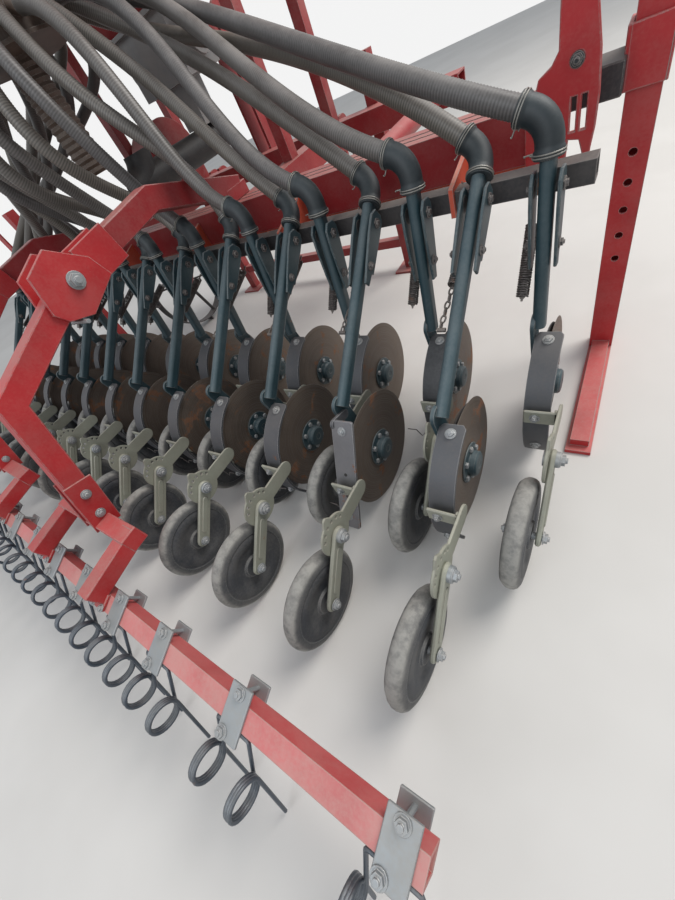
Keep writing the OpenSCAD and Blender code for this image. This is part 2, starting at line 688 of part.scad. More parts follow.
module hopper_lid() color("firebrick") placed() translate([0, hopper_y, hopper_top_z + 0.3]) {
    lid_over = 20;
    difference() {
        translate([-hopper_w / 2 - lid_over, -hopper_l / 2 - lid_over, -25]) cube([hopper_w + 2 * lid_over, hopper_l + 2 * lid_over, 29]);
        translate([-hopper_w / 2 - lid_over + 3, -hopper_l / 2 - lid_over + 3, -26])
            cube([hopper_w + 2 * lid_over - 6, hopper_l + 2 * lid_over - 6, 26]);
        for (s = [-1, 1]) translate([s * lid_hinge_x - 20, hopper_l / 2 + 5, -26]) cube([40, 40, 31]);
    }
    for (s = [-1, 1], e = [-1, 1]) side(s * lid_hinge_x + e * 10 - 3, 6) difference() {
        union() {
            strut([hopper_l / 2 + lid_hinge_out, lid_hinge_z - hopper_top_z - 0.3], [hopper_l / 2 + lid_hinge_out - 4, 9], 20);
            translate([hopper_l / 2 - 60, 3]) square([60 + lid_hinge_out, 10]);
        }
        translate([hopper_l / 2 + lid_hinge_out, lid_hinge_z - hopper_top_z - 0.3]) circle(r = 6 + running_fit);
    }
}

// Four posts on the frame and the ring that the funnel hangs in
module hopper_frame() color("firebrick") placed() {
    post = 45;
    ring_top = funnel_low_z + 185;
    share = (ring_top - funnel_low_z) / (funnel_top_z - funnel_low_z);
    in_x = mouth_w / 2 + (hopper_w - mouth_w) / 2 * share + 0.6;
    in_y = mouth_l / 2 + (hopper_l - mouth_l) / 2 * share + 0.6;
    for (sx = [-1, 1], y = [-100, post_y])
        translate([sx * rail_x - post / 2, hopper_y + y - post / 2, beam_top_z - 10])
            cube([post, post, ring_top - beam_top_z - post + 10]);
    translate([0, hopper_y, ring_top - post]) difference() {
        translate([-rail_x - post / 2, -post_y - post / 2, 0]) cube([2 * rail_x + post, 2 * post_y + post, post]);
        translate([-in_x, -in_y, -1]) cube([2 * in_x, 2 * in_y, post + 2]);
    }
}

// Fixed arm of the land wheel, from the front beam to the axle
module drive_arm() color("firebrick") placed() {
    gap = drive_w / 2 + 12;
    for (s = [-1, 1]) side(-drive_x + s * (gap + 4) - 4, 8)
        strut([drive_y, drive_r + 2], [front_y + 20, beam_top_z - beam_s - 20], 60);
    translate([-drive_x - gap - 8, front_y + 2, beam_top_z - beam_s - 30]) cube([2 * gap + 16, 40, 40]);
    across(-drive_x - gap - 14, drive_y, drive_r + 2, 2 * gap + 28, drive_axle_r);
}
// Land wheel: flat rim with lugs, six spokes and a hub
module drive_wheel() color("firebrick") placed() translate([-drive_x, drive_y, drive_r + 2]) rotate([0, 90, 0]) difference() {
    union() {
        difference() {
            translate([0, 0, -drive_w / 2]) cylinder(h = drive_w, r = drive_r - 22, $fn = 96);
            translate([0, 0, -drive_w / 2 - 1]) cylinder(h = drive_w + 2, r = drive_r - 28, $fn = 96);
        }
        for (a = [0 : 30 : 330]) rotate(a) translate([drive_r - 24, -3, -drive_w / 2]) cube([24, 6, drive_w]);
        for (a = [15 : 60 : 345]) rotate(a) translate([20, -4, -15]) cube([drive_r - 46, 8, 30]);
        translate([0, 0, -drive_w / 2 - 8]) cylinder(h = drive_w + 16, r = 34);
    }
    translate([0, 0, -99]) cylinder(h = 198, r = drive_axle_r + running_fit);
}

// Arms on the main beam that reach back over the coulters to the harrow's hinge
mount_h = 64;
harrow_path = [[beam_y + beam_s - 40, beam_top_z + mount_h / 2 + seat_gap], [238, 846], [-30, 812]];
module harrow_mounts() color("firebrick") placed() for (s = [-1, 1]) {
    side(s * harrow_arm_x - 30, 60) {
        strut(harrow_path[0], harrow_path[1], mount_h);
        strut(harrow_path[1], harrow_path[2], mount_h);
        translate([beam_y, beam_top_z]) square([beam_s, 40]);
    }
    for (e = [-1, 1]) side(s * harrow_arm_x + e * 35 - 5, 10) strut(harrow_path[2] + [60, 6], harrow_hinge, 110);
    across(s * harrow_arm_x - 46, harrow_hinge.x, harrow_hinge.y, 92, harrow_pin_r);
}
// Turns a solid into the harrow bar's tilted frame, at its middle
module along_bar(x) translate([x, harrow_mid.x, harrow_mid.y]) rotate([harrow_tilt, 0, 0]) children();
// Cranked harrow arms, each on a cross tube whose two feet stand on the harrow's bar
foot_s = 52;
foot_low = on_bar(harrow_s / 2, harrow_s / 2 + foot_s / 2 + 2);
foot_high = [-523, 310];
module harrow_arms() color("crimson") placed() for (s = [-1, 1]) mirror([s < 0 ? 1 : 0, 0, 0]) {
    knee = [-413, 684];
    feet = [harrow_arm_x - harrow_foot_in, harrow_arm_x + harrow_foot_out];
    difference() {
        side(harrow_arm_x - 29.5, 59) {
            strut(harrow_hinge, knee, 58);
            strut(knee, foot_high, 58);
        }
        across(harrow_arm_x - 40, harrow_hinge.x, harrow_hinge.y, 80, harrow_pin_r + running_fit);
    }
    translate([feet[0] - foot_s / 2, foot_high.x - foot_s / 2, foot_high.y - foot_s / 2])
        cube([feet[1] - feet[0] + foot_s, foot_s, foot_s]);
    for (x = feet) {
        side(x - foot_s / 2, foot_s) strut(foot_high, foot_low, foot_s);
        along_bar(x - foot_s / 2 - 4) translate([0, -harrow_s / 2, harrow_s / 2 + 0.3]) cube([foot_s + 8, harrow_s, 8]);
    }
}
module harrow_bar() color("crimson") placed()
    along_bar(0) cross_tube(harrow_len, harrow_s, 5, -harrow_s / 2, -harrow_s / 2);
// The two outermost tines of each side stand further apart
outer_tines = [1130, 1452];
function tine_place(j) = j < 5 ? (j + 0.5) * tine_pitch : outer_tines[j - 5];
function tine_x(i) = i < tine_count / 2 ? -tine_place(tine_count / 2 - 1 - i) : tine_place(i - tine_count / 2);
// Clamps: a plate on the bar and a strip under it, with a bolt in front and one behind
module harrow_clamps() color("silver") placed() for (i = [0 : tine_count - 1]) along_bar(tine_x(i)) {
    half = harrow_s / 2;
    plate_w = 52;
    overhang = 26;
    bolt_r = 5;
    head = 8;
    for (z = [half, -half - 6]) translate([-plate_w / 2, -half - overhang, z]) cube([plate_w, harrow_s + 2 * overhang, 6]);
    for (bolt = [[0, half + overhang / 2], [-plate_w / 4, -half - overhang + 2 * bolt_r]]) {
        translate([bolt.x, bolt.y, -half - 6 - head]) cylinder(h = harrow_s + 12 + 2 * head, r = bolt_r);
        translate([bolt.x, bolt.y, half + 6]) cylinder(h = head, r = 9, $fn = 6);
    }
}
// Double-coil tines: two coils of three turns, a trailing leg each, and a loop held in the clamp
module harrow_tines() color("black") placed() for (i = [0 : tine_count - 1]) translate([tine_x(i), coil_y, coil_z]) {
    pitch = 2 * tine_wire_r - 0.4;
    eye = tine_eye - [coil_y, coil_z];
    run = sqrt(eye * eye - coil_r * coil_r);
    swing = atan2(eye.y, eye.x) + asin(coil_r / norm(eye));
    for (s = [-1, 1]) {
        translate([s * (coil_gap + pitch), 0, 0]) rotate([0, 90, 0]) rotate_extrude()
            for (n = [-1 : 1]) translate([coil_r, n * pitch]) circle(r = tine_wire_r, $fn = 24);
        translate([s * (coil_gap + 2 * pitch), 0, 0]) rotate([180 - tine_lean, 0, 0]) translate([0, -coil_r, 0])
            cylinder(h = tine_leg, r = tine_wire_r - 0.1);
        translate([s * coil_gap, 0, 0]) rotate([swing - 90, 0, 0]) translate([0, coil_r, 0])
            cylinder(h = run + 1, r = tine_wire_r - 0.4);
    }
    across(-coil_gap - 2, eye.x, eye.y, 2 * coil_gap + 4, tine_wire_r - 0.1);
}

// Side stands: a square leg with a long foot laid back along the ground
module stand(s) placed() mirror([s < 0 ? 1 : 0, 0, 0]) translate([stand_x, 0, 0]) difference() {
    union() {
        translate([0, foot_end_y, 0]) cube([leg_s, leg_y + leg_s - foot_end_y, 12]);
        translate([8, foot_end_y + 20, 0]) cube([leg_s - 16, leg_y - foot_end_y - 20, 34]);
        translate([0, leg_y, 0]) cube([leg_s, leg_s, leg_top_z]);
    }
    translate([6, leg_y + 6, 40]) cube([leg_s - 12, leg_s - 12, leg_top_z]);
    for (z = [300 : 60 : 540]) translate([leg_s / 2, leg_y - 1, z]) rotate([-90, 0, 0]) cylinder(h = leg_s + 2, r = 8);
}
module stand_left() color("firebrick") stand(-1);
module stand_right() color("firebrick") stand(1);
// Front stand: two legs joined by a low cross tube
module stand_front() color("firebrick") placed() {
    for (s = [-1, 1]) {
        translate([s * front_leg_x - front_leg / 2, front_leg_y, 10]) cube([front_leg, front_leg, front_leg_h]);
        translate([s * front_leg_x - front_pad / 2, front_leg_y - (front_pad - front_leg) / 2, 0])
            cube([front_pad, front_pad, 10]);
    }
    translate([-front_leg_x + front_leg / 2, front_leg_y + 5, 120]) cube([2 * front_leg_x - front_leg, 40, 40]);
}

main_beam();
front_frame();
side_plates();
headstock();
coulter_bar();
bar_brackets();
arm_brackets();
coulter_arms_front();
coulter_arms_rear();
straps_front();
straps_rear();
press_arms_front();
press_arms_rear();
springs();
elbows();
seed_hoses();
distributor();
air_duct();
fan_housing();
metering_unit();
hopper();
hopper_frame();
drive_arm();
harrow_mounts();
harrow_arms();
harrow_bar();
harrow_clamps();
harrow_tines();
hopper_lid();
stand_left();
stand_right();
stand_front();
drive_wheel();
fan_rotor();
disc_row_front();
disc_row_rear();
for (k = [0 : coulters - 1]) press_wheel(k);
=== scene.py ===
# %% [markdown]
# # Dressing a seed drill
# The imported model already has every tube, disc and wheel in its right place. This script
# gives them the finish of a drill that has worked for years: faded red paint, teal coulter
# arms, rusty discs, ribbed hoses and galvanised clamps. It loads the frame first, because
# every piece made here rides on one of its bodies.

# %% Load the frame
import math

import bmesh
import bpy
import numpy as np
from mathutils import Matrix, Vector


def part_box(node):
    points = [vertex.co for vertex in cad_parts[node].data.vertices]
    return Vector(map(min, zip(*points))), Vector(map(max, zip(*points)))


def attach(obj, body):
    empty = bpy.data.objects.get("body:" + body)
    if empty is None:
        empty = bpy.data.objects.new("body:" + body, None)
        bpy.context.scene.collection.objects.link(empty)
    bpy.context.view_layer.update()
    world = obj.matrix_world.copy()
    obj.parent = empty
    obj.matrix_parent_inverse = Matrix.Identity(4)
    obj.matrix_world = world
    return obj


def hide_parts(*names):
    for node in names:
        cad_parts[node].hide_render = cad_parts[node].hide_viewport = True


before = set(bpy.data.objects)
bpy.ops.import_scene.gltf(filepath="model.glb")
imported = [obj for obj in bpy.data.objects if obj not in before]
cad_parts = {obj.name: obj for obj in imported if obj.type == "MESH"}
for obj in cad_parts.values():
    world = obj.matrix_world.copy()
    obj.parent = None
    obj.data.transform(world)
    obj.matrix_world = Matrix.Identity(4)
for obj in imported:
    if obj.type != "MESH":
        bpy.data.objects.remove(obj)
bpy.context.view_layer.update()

# %% [markdown]
# ## One frame of measures
# Lengths below are in millimetres of the drill's working frame, whose zero lies under the
# rear row's disc axles. `to_frame` turns them into metres of the model's own frame. The
# coulter bar, whose rear face is known, tells how far the two frames lie apart. A place in
# the side view is a pair, forward and up.

# %% Measures that repeat through the drill
COULTERS = 24
HALF = COULTERS // 2
ROWS = (("front", 0), ("rear", 1))  # each row's name and first coulter
PITCH, ROW_GAP = 125.0, 300.0
BAR_REAR = 352.0
ORIGIN_Y = BAR_REAR - 1000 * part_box("coulter_bar")[0].y
DISC_Z = 172.0
PIVOT = np.array([300.0, 636.0])
STRAP_IN, STRAP_OUT = 177.5, 184.5
PRESS_PIVOT = np.array([-304.0, 242.0])
PRESS_AXLE = np.array([-427.0, 124.5])
HARROW_X = 440.0


def unit_x(k):
    return (COULTERS - 1) / 2 * PITCH - PITCH * k


def is_front(k):
    return k % 2 == 0


def unit_y(k):
    return ROW_GAP if is_front(k) else 0.0


def side_of(k):
    return 1 if k < HALF else -1


def to_frame(p):
    return Vector((p[0] / 1000, (p[1] - ORIGIN_Y) / 1000, p[2] / 1000))


def unit(v):
    v = np.asarray(v, float)
    return v / np.linalg.norm(v)


print("origin of the working frame:", round(-ORIGIN_Y, 2), "mm")

# %% [markdown]
# ## The camera
# The drill is seen from its right rear corner, from close by and above, through a wide
# lens, with the camera turned on its side a little. Its three axes are written as the
# columns of a matrix, so that no aiming helper has to guess the tilt.

# %% Camera
azimuth, elevation, roll = (math.radians(a) for a in (51.96, 44.61, -30.89))
back = np.array([
    math.sin(azimuth) * math.cos(elevation), -math.cos(azimuth) * math.cos(elevation), math.sin(elevation)])
level = unit(np.cross(-back, [0, 0, 1]))
upward = np.cross(level, -back)
right = math.cos(roll) * level + math.sin(roll) * upward
above = -math.sin(roll) * level + math.cos(roll) * upward
eye = (1.57347, -0.52034 - ORIGIN_Y / 1000, 0.94321)
camera = bpy.data.objects.new("camera", bpy.data.cameras.new("camera"))
bpy.context.scene.collection.objects.link(camera)
camera.matrix_world = Matrix([*([right[i], above[i], back[i], eye[i]] for i in range(3)), [0, 0, 0, 1]])
camera.data.lens = 14.62
camera.data.sensor_width = 36
camera.data.clip_start = 0.02
bpy.context.scene.camera = camera
print("camera at:", [round(float(c), 3) for c in eye])

# %% [markdown]
# ## Helpers for shapes
# A `Form` gathers points and faces in millimetres. Tubes are swept along a path with a
# frame that doesn't twist, round parts are turned on a lathe, and sheet metal parts are cut
# from a flat curve, whose bevel rounds their edges. Each form becomes one mesh that
# sits at the origin, so patterns on Object coordinates stay put.


# %% Forms
class Form:
    def __init__(self):
        self.points = []
        self.faces = []

    def put(self, part, matrix=Matrix()):
        """Adds a part, moved by a 4x4 matrix."""
        points, faces = part
        start = len(self.points)
        self.points.extend(matrix @ Vector(p) for p in points)
        self.faces.extend(tuple(start + i for i in f) for f in faces)
        return self


def rings_to_faces(count, sides, closed=False):
    faces = []
    for i in range(count if closed else count - 1):
        a, b = i * sides, (i + 1) % count * sides
        faces += [(a + j, a + (j + 1) % sides, b + (j + 1) % sides, b + j) for j in range(sides)]
    if not closed:
        faces.append(tuple(range(sides))[::-1])
        faces.append(tuple((count - 1) * sides + j for j in range(sides)))
    return faces


# %% Tubes and turned parts
def tube(path, radius, sides=8, closed=False):
    """A round tube along a path; radius is one number or one for each point."""
    path = np.asarray(path, float)
    radii = np.broadcast_to(np.asarray(radius, float), (len(path),))
    if closed:
        tangents = np.roll(path, -1, 0) - np.roll(path, 1, 0)
    else:
        tangents = np.gradient(path, axis=0)
    tangents = tangents / np.linalg.norm(tangents, axis=1)[:, None]
    seed = np.array([0.0, 0, 1]) if abs(tangents[0][2]) < 0.9 else np.array([1.0, 0, 0])
    normal = unit(np.cross(tangents[0], seed))
    angles = np.arange(sides) * 2 * math.pi / sides
    points = []
    for p, t, r in zip(path, tangents, radii):
        normal = unit(normal - t * (normal @ t))
        side = np.cross(t, normal)
        points += [p + r * (math.cos(a) * normal + math.sin(a) * side) for a in angles]
    return points, rings_to_faces(len(path), sides, closed)


def lathe(profile, segments=48):
    """Turns a closed outline of (radius, height) points about the X axis, x being the height."""
    angles = np.arange(segments) * 2 * math.pi / segments
    points = [(h, r * math.cos(a), r * math.sin(a)) for r, h in profile for a in angles]
    return points, rings_to_faces(len(profile), segments, True)


# %% Sheet metal and blocks
def cut(outline, thickness, edge=0.8, holes=()):
    """Sheet metal cut to an outline in the YZ plane, centred on x = 0, with rounded edges."""
    curve = bpy.data.curves.new("cut", "CURVE")
    curve.dimensions = "2D"
    curve.fill_mode = "BOTH"
    curve.extrude = thickness / 2 - edge
    curve.bevel_depth = edge
    curve.bevel_resolution = 0
    curve.offset = -edge
    for loop in [outline, *holes]:
        spline = curve.splines.new("POLY")
        spline.points.add(len(loop) - 1)
        for point, (u, v) in zip(spline.points, loop):
            point.co = (u, v, 0, 1)
        spline.use_cyclic_u = True
    holder = bpy.data.objects.new("cut", curve)
    bpy.context.scene.collection.objects.link(holder)
    mesh = bpy.data.meshes.new_from_object(holder.evaluated_get(bpy.context.evaluated_depsgraph_get()))
    points = [(p.co.z, p.co.x, p.co.y) for p in mesh.vertices]
    faces = [tuple(f.vertices) for f in mesh.polygons]
    bpy.data.objects.remove(holder)
    bpy.data.meshes.remove(mesh)
    bpy.data.curves.remove(curve)
    return points, faces


def block(low, high, edge=1.5):
    """A box with chamfered edges."""
    mesh = bmesh.new()
    bmesh.ops.create_cube(mesh, size=1)
    low, high = np.minimum(low, high), np.maximum(low, high)
    for p in mesh.verts:
        p.co = Vector((low + high) / 2) + Vector([p.co[i] * (high - low)[i] for i in range(3)])
    bmesh.ops.bevel(mesh, geom=mesh.edges[:], offset=edge, segments=1, affect="EDGES")
    mesh.verts.index_update()
    part = [tuple(p.co) for p in mesh.verts], [tuple(p.index for p in f.verts) for f in mesh.faces]
    mesh.free()
    return part


# %% Outlines in a plane
def circle(radius, count=24, centre=(0, 0), start=0.0, sweep=360.0):
    """Points of a circle or an arc in a plane, angles in degrees."""
    full = abs(sweep) >= 360
    angles = np.radians(start + sweep * np.arange(count) / (count if full else count - 1))
    return [(centre[0] + radius * math.cos(a), centre[1] + radius * math.sin(a)) for a in angles]


def angle_of(v):
    return math.degrees(math.atan2(v[1], v[0]))


def around(degrees):
    return np.array([math.cos(math.radians(degrees)), math.sin(math.radians(degrees))])


def stick(a, b, width, count=8):
    """The outline of a bar with round ends, between two points of a plane."""
    a, b = np.asarray(a, float), np.asarray(b, float)
    turn = angle_of(b - a)
    return circle(width / 2, count, a, turn + 90, 180) + circle(width / 2, count, b, turn - 90, 180)


def shift(x=0.0, y=0.0, z=0.0):
    return Matrix.Translation((x, y, z))


# %% From a form to a piece of the drill
def linked(name, data):
    obj = bpy.data.objects.new(name, data)
    bpy.context.scene.collection.objects.link(obj)
    return obj


def finish_mesh(obj, material, body, node=None, angle=30):
    """Outward normals, sharp edges past an angle, a finish, and the body that carries it."""
    mesh = bmesh.new()
    mesh.from_mesh(obj.data)
    bmesh.ops.remove_doubles(mesh, verts=mesh.verts, dist=1e-6)
    bmesh.ops.recalc_face_normals(mesh, faces=mesh.faces)
    mesh.to_mesh(obj.data)
    mesh.free()
    obj.data.polygons.foreach_set("use_smooth", [True] * len(obj.data.polygons))
    obj.data.set_sharp_from_angle(angle=math.radians(angle))
    obj.data.materials.clear()
    obj.data.materials.append(material)
    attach(obj, body)
    if node:
        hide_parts(node)


def piece(name, form, material, body, node=None, slot=None, angle=30):
    """Makes a form one piece that rides on a body."""
    mesh = bpy.data.meshes.new(name)
    mesh.from_pydata([to_frame(p) for p in form.points], [], form.faces)
    obj = linked(name, mesh)
    finish_mesh(obj, material, body, node, angle)
    print(f"{name}: {len(obj.data.polygons)} faces")
    return obj


# %% [markdown]
# ## Wear, dust and rust
# Three effects come back on nearly every surface. Paint is gone along the edges, dust lies
# on what faces up, and rust eats in patches. Each is a node group with named inputs, so a
# material only says how much it has of each. Masks and colours come out of the groups; the
# shader itself stays in the material.


# %% Node helpers
def wire(tree, *pairs):
    for source, target in pairs:
        tree.links.new(source, target)


def node(tree, kind, inputs=None, **settings):
    """Adds a node. An input takes another node's output, or a value that is the same all over."""
    made = tree.nodes.new(kind)
    for name, value in settings.items():
        setattr(made, name, value)
    for key, value in (inputs or {}).items():
        if isinstance(value, bpy.types.NodeSocket):
            wire(tree, (value, made.inputs[key]))
        elif value is not None:
            made.inputs[key].default_value = (*value, 1) if isinstance(value, tuple) else value
    return made


SOCKETS = {float: "NodeSocketFloat", int: "NodeSocketInt", tuple: "NodeSocketColor", type(None): "NodeSocketMaterial"}


def add_inputs(tree, inputs):
    """Named inputs, whose kind follows from their first value; None stands for a material."""
    for label, value in inputs.items():
        socket = tree.interface.new_socket(label, in_out="INPUT", socket_type=SOCKETS[type(value)])
        if value is not None:
            socket.default_value = value


def new_group(name, inputs, outputs):
    tree = bpy.data.node_groups.new(name, "ShaderNodeTree")
    add_inputs(tree, inputs)
    for label in outputs:
        kind = "NodeSocketColor" if label == "Colour" else "NodeSocketFloat"
        tree.interface.new_socket(label, in_out="OUTPUT", socket_type=kind)
    return tree, tree.nodes.new("NodeGroupInput").outputs, tree.nodes.new("NodeGroupOutput").inputs


# %% Short words for the nodes used most
def noise(tree, vector, scale, detail=4.0, rough=0.6, distortion=0.0):
    return node(tree, "ShaderNodeTexNoise", {
        "Vector": vector, "Scale": scale, "Detail": detail, "Roughness": rough, "Distortion": distortion,
    }).outputs["Fac"]


def ramp(tree, value, low, high, to_low=0.0, to_high=1.0):
    return node(tree, "ShaderNodeMapRange", {
        "Value": value, "From Min": low, "From Max": high, "To Min": to_low, "To Max": to_high,
    }, interpolation_type="SMOOTHSTEP").outputs["Result"]


def maths(tree, operation, a, b, clamp=False):
    return node(tree, "ShaderNodeMath", {0: a, 1: b}, operation=operation, use_clamp=clamp).outputs[0]


def times(tree, a, b):
    return maths(tree, "MULTIPLY", a, b)


def blend_colours(tree, factor, a, b):
    return node(tree, "ShaderNodeMix", {"Factor": factor, 6: a, 7: b}, data_type="RGBA").outputs[2]


def object_place(tree):
    return tree.nodes.new("ShaderNodeTexCoord").outputs["Object"]


def facing_up(tree, low, high):
    """A mask of the faces that look up."""
    normal = tree.nodes.new("ShaderNodeNewGeometry").outputs["Normal"]
    return ramp(tree, node(tree, "ShaderNodeSeparateXYZ", {0: normal}).outputs["Z"], low, high)


# %% Edge wear: where the surface turns sharply, broken up by noise
wear_group, given, out = new_group("edge wear", {"Width": 0.003, "Amount": 0.5, "Scale": 60.0}, ["Mask"])
tree = wear_group
rounded = node(tree, "ShaderNodeBevel", {"Radius": given["Width"]}, samples=4).outputs["Normal"]
plain = tree.nodes.new("ShaderNodeNewGeometry").outputs["Normal"]
turned = node(tree, "ShaderNodeVectorMath", {0: rounded, 1: plain}, operation="DOT_PRODUCT").outputs["Value"]
edge = ramp(tree, turned, 0.995, 0.82)
broken = noise(tree, object_place(tree), given["Scale"], 5, 0.7)
limit = maths(tree, "SUBTRACT", 0.95, times(tree, given["Amount"], 0.6))
worn = ramp(tree, maths(tree, "ADD", times(tree, edge, 0.5), broken), limit, maths(tree, "ADD", limit, 0.08))
wire(tree, (times(tree, worn, ramp(tree, edge, 0.05, 0.4)), out["Mask"]))
print("group:", wear_group.name)

# %% Dust: on faces that look up, and in blotches elsewhere
dust_group, given, out = new_group("settled dust", {
    "Colour": (0.5, 0.5, 0.5, 1), "Dust": (0.42, 0.36, 0.30, 1), "On top": 0.5, "All over": 0.15, "Scale": 9.0,
}, ["Colour", "Mask"])
tree = dust_group
broad = noise(tree, object_place(tree), given["Scale"], 6, 0.65)
fine = noise(tree, object_place(tree), 160.0, 3, 0.6)
speckle = ramp(tree, maths(tree, "ADD", times(tree, broad, 0.7), times(tree, fine, 0.3)), 0.36, 0.64)
patchy = maths(tree, "ADD", 0.45, times(tree, speckle, 0.55))
top = times(tree, times(tree, facing_up(tree, 0.15, 0.95), given["On top"]), patchy)
mask = maths(tree, "ADD", top, times(tree, speckle, given["All over"]), clamp=True)
wire(tree, (blend_colours(tree, mask, given["Colour"], given["Dust"]), out["Colour"]), (mask, out["Mask"]))
print("group:", dust_group.name)

# %% Rust: patches with an orange rim and a dark heart
rust_group, given, out = new_group(
    "rust", {"Colour": (0.5, 0.5, 0.5, 1), "Amount": 0.3, "Scale": 14.0}, ["Colour", "Mask", "Height"])
tree = rust_group
RIM, HEART = (0.30, 0.115, 0.045), (0.085, 0.045, 0.032)
patches = noise(tree, object_place(tree), given["Scale"], 8, 0.68, 0.3)
grains = noise(tree, object_place(tree), 220.0, 3, 0.7)
limit = maths(tree, "SUBTRACT", 0.72, times(tree, given["Amount"], 0.36))
spread = maths(tree, "ADD", patches, times(tree, maths(tree, "SUBTRACT", grains, 0.5), 0.12))
mask = ramp(tree, spread, limit, maths(tree, "ADD", limit, 0.06))
heart = ramp(tree, spread, maths(tree, "ADD", limit, 0.04), maths(tree, "ADD", limit, 0.2))
rusted = blend_colours(tree, mask, given["Colour"], blend_colours(tree, heart, RIM, HEART))
wire(tree, (rusted, out["Colour"]), (mask, out["Mask"]), (times(tree, mask, grains), out["Height"]))
print("group:", rust_group.name)

# %% [markdown]
# ## The finishes
# One builder makes a coated or bare surface from those groups. It starts from the clean
# colour, varies it broadly, makes faces that look up paler, as sun-bleached paint and as painted light from above,
# then adds rust, wear and dust.
# Numbers that are the same all over, such as metalness, go straight on the shader.


# %% A new material, and its dust
def shaded(name):
    """A new material with its node tree and shader."""
    material = bpy.data.materials.new(name)
    material.use_nodes = True
    return material, material.node_tree, material.node_tree.nodes["Principled BSDF"].inputs


def dusted(tree, colour, dust_colour, dust_top, dust):
    return node(tree, "ShaderNodeGroup", {
        "Colour": colour, "Dust": dust_colour, "On top": dust_top, "All over": dust}, node_tree=dust_group).outputs


# %% Finish builder
def coated(name, colour, faded_and_lit=None, fade_and_light=0.0, edge=0.4, bare=(0.30, 0.27, 0.25), rust=0.15, dust_top=0.4,
           dust=0.12, dust_colour=(0.40, 0.34, 0.29), rough=0.45, metal=0.0, width=0.003, rust_scale=14.0):
    material, tree, shader = shaded(name)
    place = object_place(tree)
    shadow = tuple(c * 0.72 for c in colour)
    surface = blend_colours(tree, ramp(tree, noise(tree, place, 3.5, 5, 0.6), 0.32, 0.68), shadow, colour)
    # Faces that look up blend to a paler colour: partly sun-bleached paint, partly painted light where the sky falls
    # on them.
    if faded_and_lit:
        lit_tops = times(tree, facing_up(tree, -0.1, 0.9), fade_and_light)
        patchy = ramp(tree, noise(tree, place, 7.0, 6, 0.6), 0.3, 0.62, 0.55, 1.0)
        surface = blend_colours(tree, times(tree, lit_tops, patchy), surface, faded_and_lit)
    rusty = node(tree, "ShaderNodeGroup", {"Colour": surface, "Amount": rust, "Scale": rust_scale},
                 node_tree=rust_group).outputs
    surface = rusty["Colour"]
    if edge > 0:
        worn = node(tree, "ShaderNodeGroup", {"Width": width, "Amount": edge}, node_tree=wear_group)
        surface = blend_colours(tree, worn.outputs["Mask"], surface, bare)
    dusty = dusted(tree, surface, dust_colour, dust_top, dust)
    covered = maths(tree, "ADD", dusty["Mask"], rusty["Mask"])
    roughness = maths(tree, "ADD", rough, times(tree, covered, 0.35), clamp=True)
    height = maths(tree, "ADD", rusty["Height"], times(tree, noise(tree, place, 240.0, 4, 0.6), 0.5))
    soft_edge = node(tree, "ShaderNodeBevel", {"Radius": 0.0018}, samples=4).outputs["Normal"]
    grained = node(tree, "ShaderNodeBump", {
        "Strength": 0.15, "Distance": 0.001, "Height": height, "Normal": soft_edge}).outputs["Normal"]
    wire(tree, (dusty["Colour"], shader["Base Color"]), (roughness, shader["Roughness"]), (grained, shader["Normal"]))
    shader["Metallic"].default_value = metal
    return material


# %% Paints
red = coated("red paint", (0.31, 0.014, 0.018), (0.56, 0.13, 0.13), 0.25, edge=0.45, rust=0.10, dust_top=0.32,
             dust=0.10)
arm_red = coated("bright red paint", (0.47, 0.016, 0.020), (0.62, 0.10, 0.10), 0.25, edge=0.5, rust=0.08,
                 dust_top=0.25, dust=0.10)
harrow_red = coated("faded red paint", (0.50, 0.032, 0.036), (0.72, 0.22, 0.22), 0.55, edge=0.6,
                    bare=(0.45, 0.30, 0.26), rust=0.10, dust_top=0.30, dust_colour=(0.50, 0.42, 0.36))
black_red = coated("dull frame red", (0.30, 0.016, 0.020), (0.55, 0.18, 0.18), 0.35, edge=0.45, rust=0.16,
                   dust_top=0.42, dust=0.16)
lid_red = coated("lid red", (0.40, 0.030, 0.030), (0.66, 0.27, 0.26), 0.5, rust=0.06, dust_top=0.35)
orange = coated("orange red paint", (0.62, 0.075, 0.030), (0.8, 0.25, 0.15), 0.3, rust=0.12)
teal = coated("teal paint", (0.018, 0.048, 0.060), (0.075, 0.125, 0.145), 0.35, edge=0.5, bare=(0.20, 0.20, 0.19),
              rust=0.06, dust_top=0.25, dust_colour=(0.20, 0.22, 0.22), rough=0.40)
dark = coated("dark steel", (0.022, 0.022, 0.026), edge=0.35, rust=0.22, dust=0.22,
              dust_colour=(0.20, 0.17, 0.15), rough=0.5)
print("paints:", len(bpy.data.materials))

# %% Steel and zinc
strap_steel = coated("strap steel", (0.075, 0.080, 0.090), (0.12, 0.125, 0.135), 0.3, edge=0.5,
                     bare=(0.34, 0.34, 0.34), rust=0.16, dust_top=0.2, dust=0.25,
                     dust_colour=(0.16, 0.145, 0.135), rough=0.5, metal=0.25)
black_strap = coated("black strap", (0.030, 0.032, 0.036), bare=(0.3, 0.3, 0.3), rust=0.12, dust_top=0.2,
                     dust=0.25, dust_colour=(0.15, 0.15, 0.15))
plate_zinc = coated("rusty zinc", (0.20, 0.20, 0.21), bare=(0.4, 0.4, 0.4), rust=0.35, dust_top=0.1, dust=0.2,
                    dust_colour=(0.3, 0.28, 0.26), metal=0.45, rust_scale=22.0)
cream = coated("cream zinc", (0.36, 0.37, 0.30), (0.46, 0.46, 0.38), 0.4, edge=0.3, bare=(0.26, 0.24, 0.20),
               rust=0.10, dust_top=0.2, dust=0.25, dust_colour=(0.25, 0.22, 0.18), rough=0.5, metal=0.2,
               rust_scale=26.0)
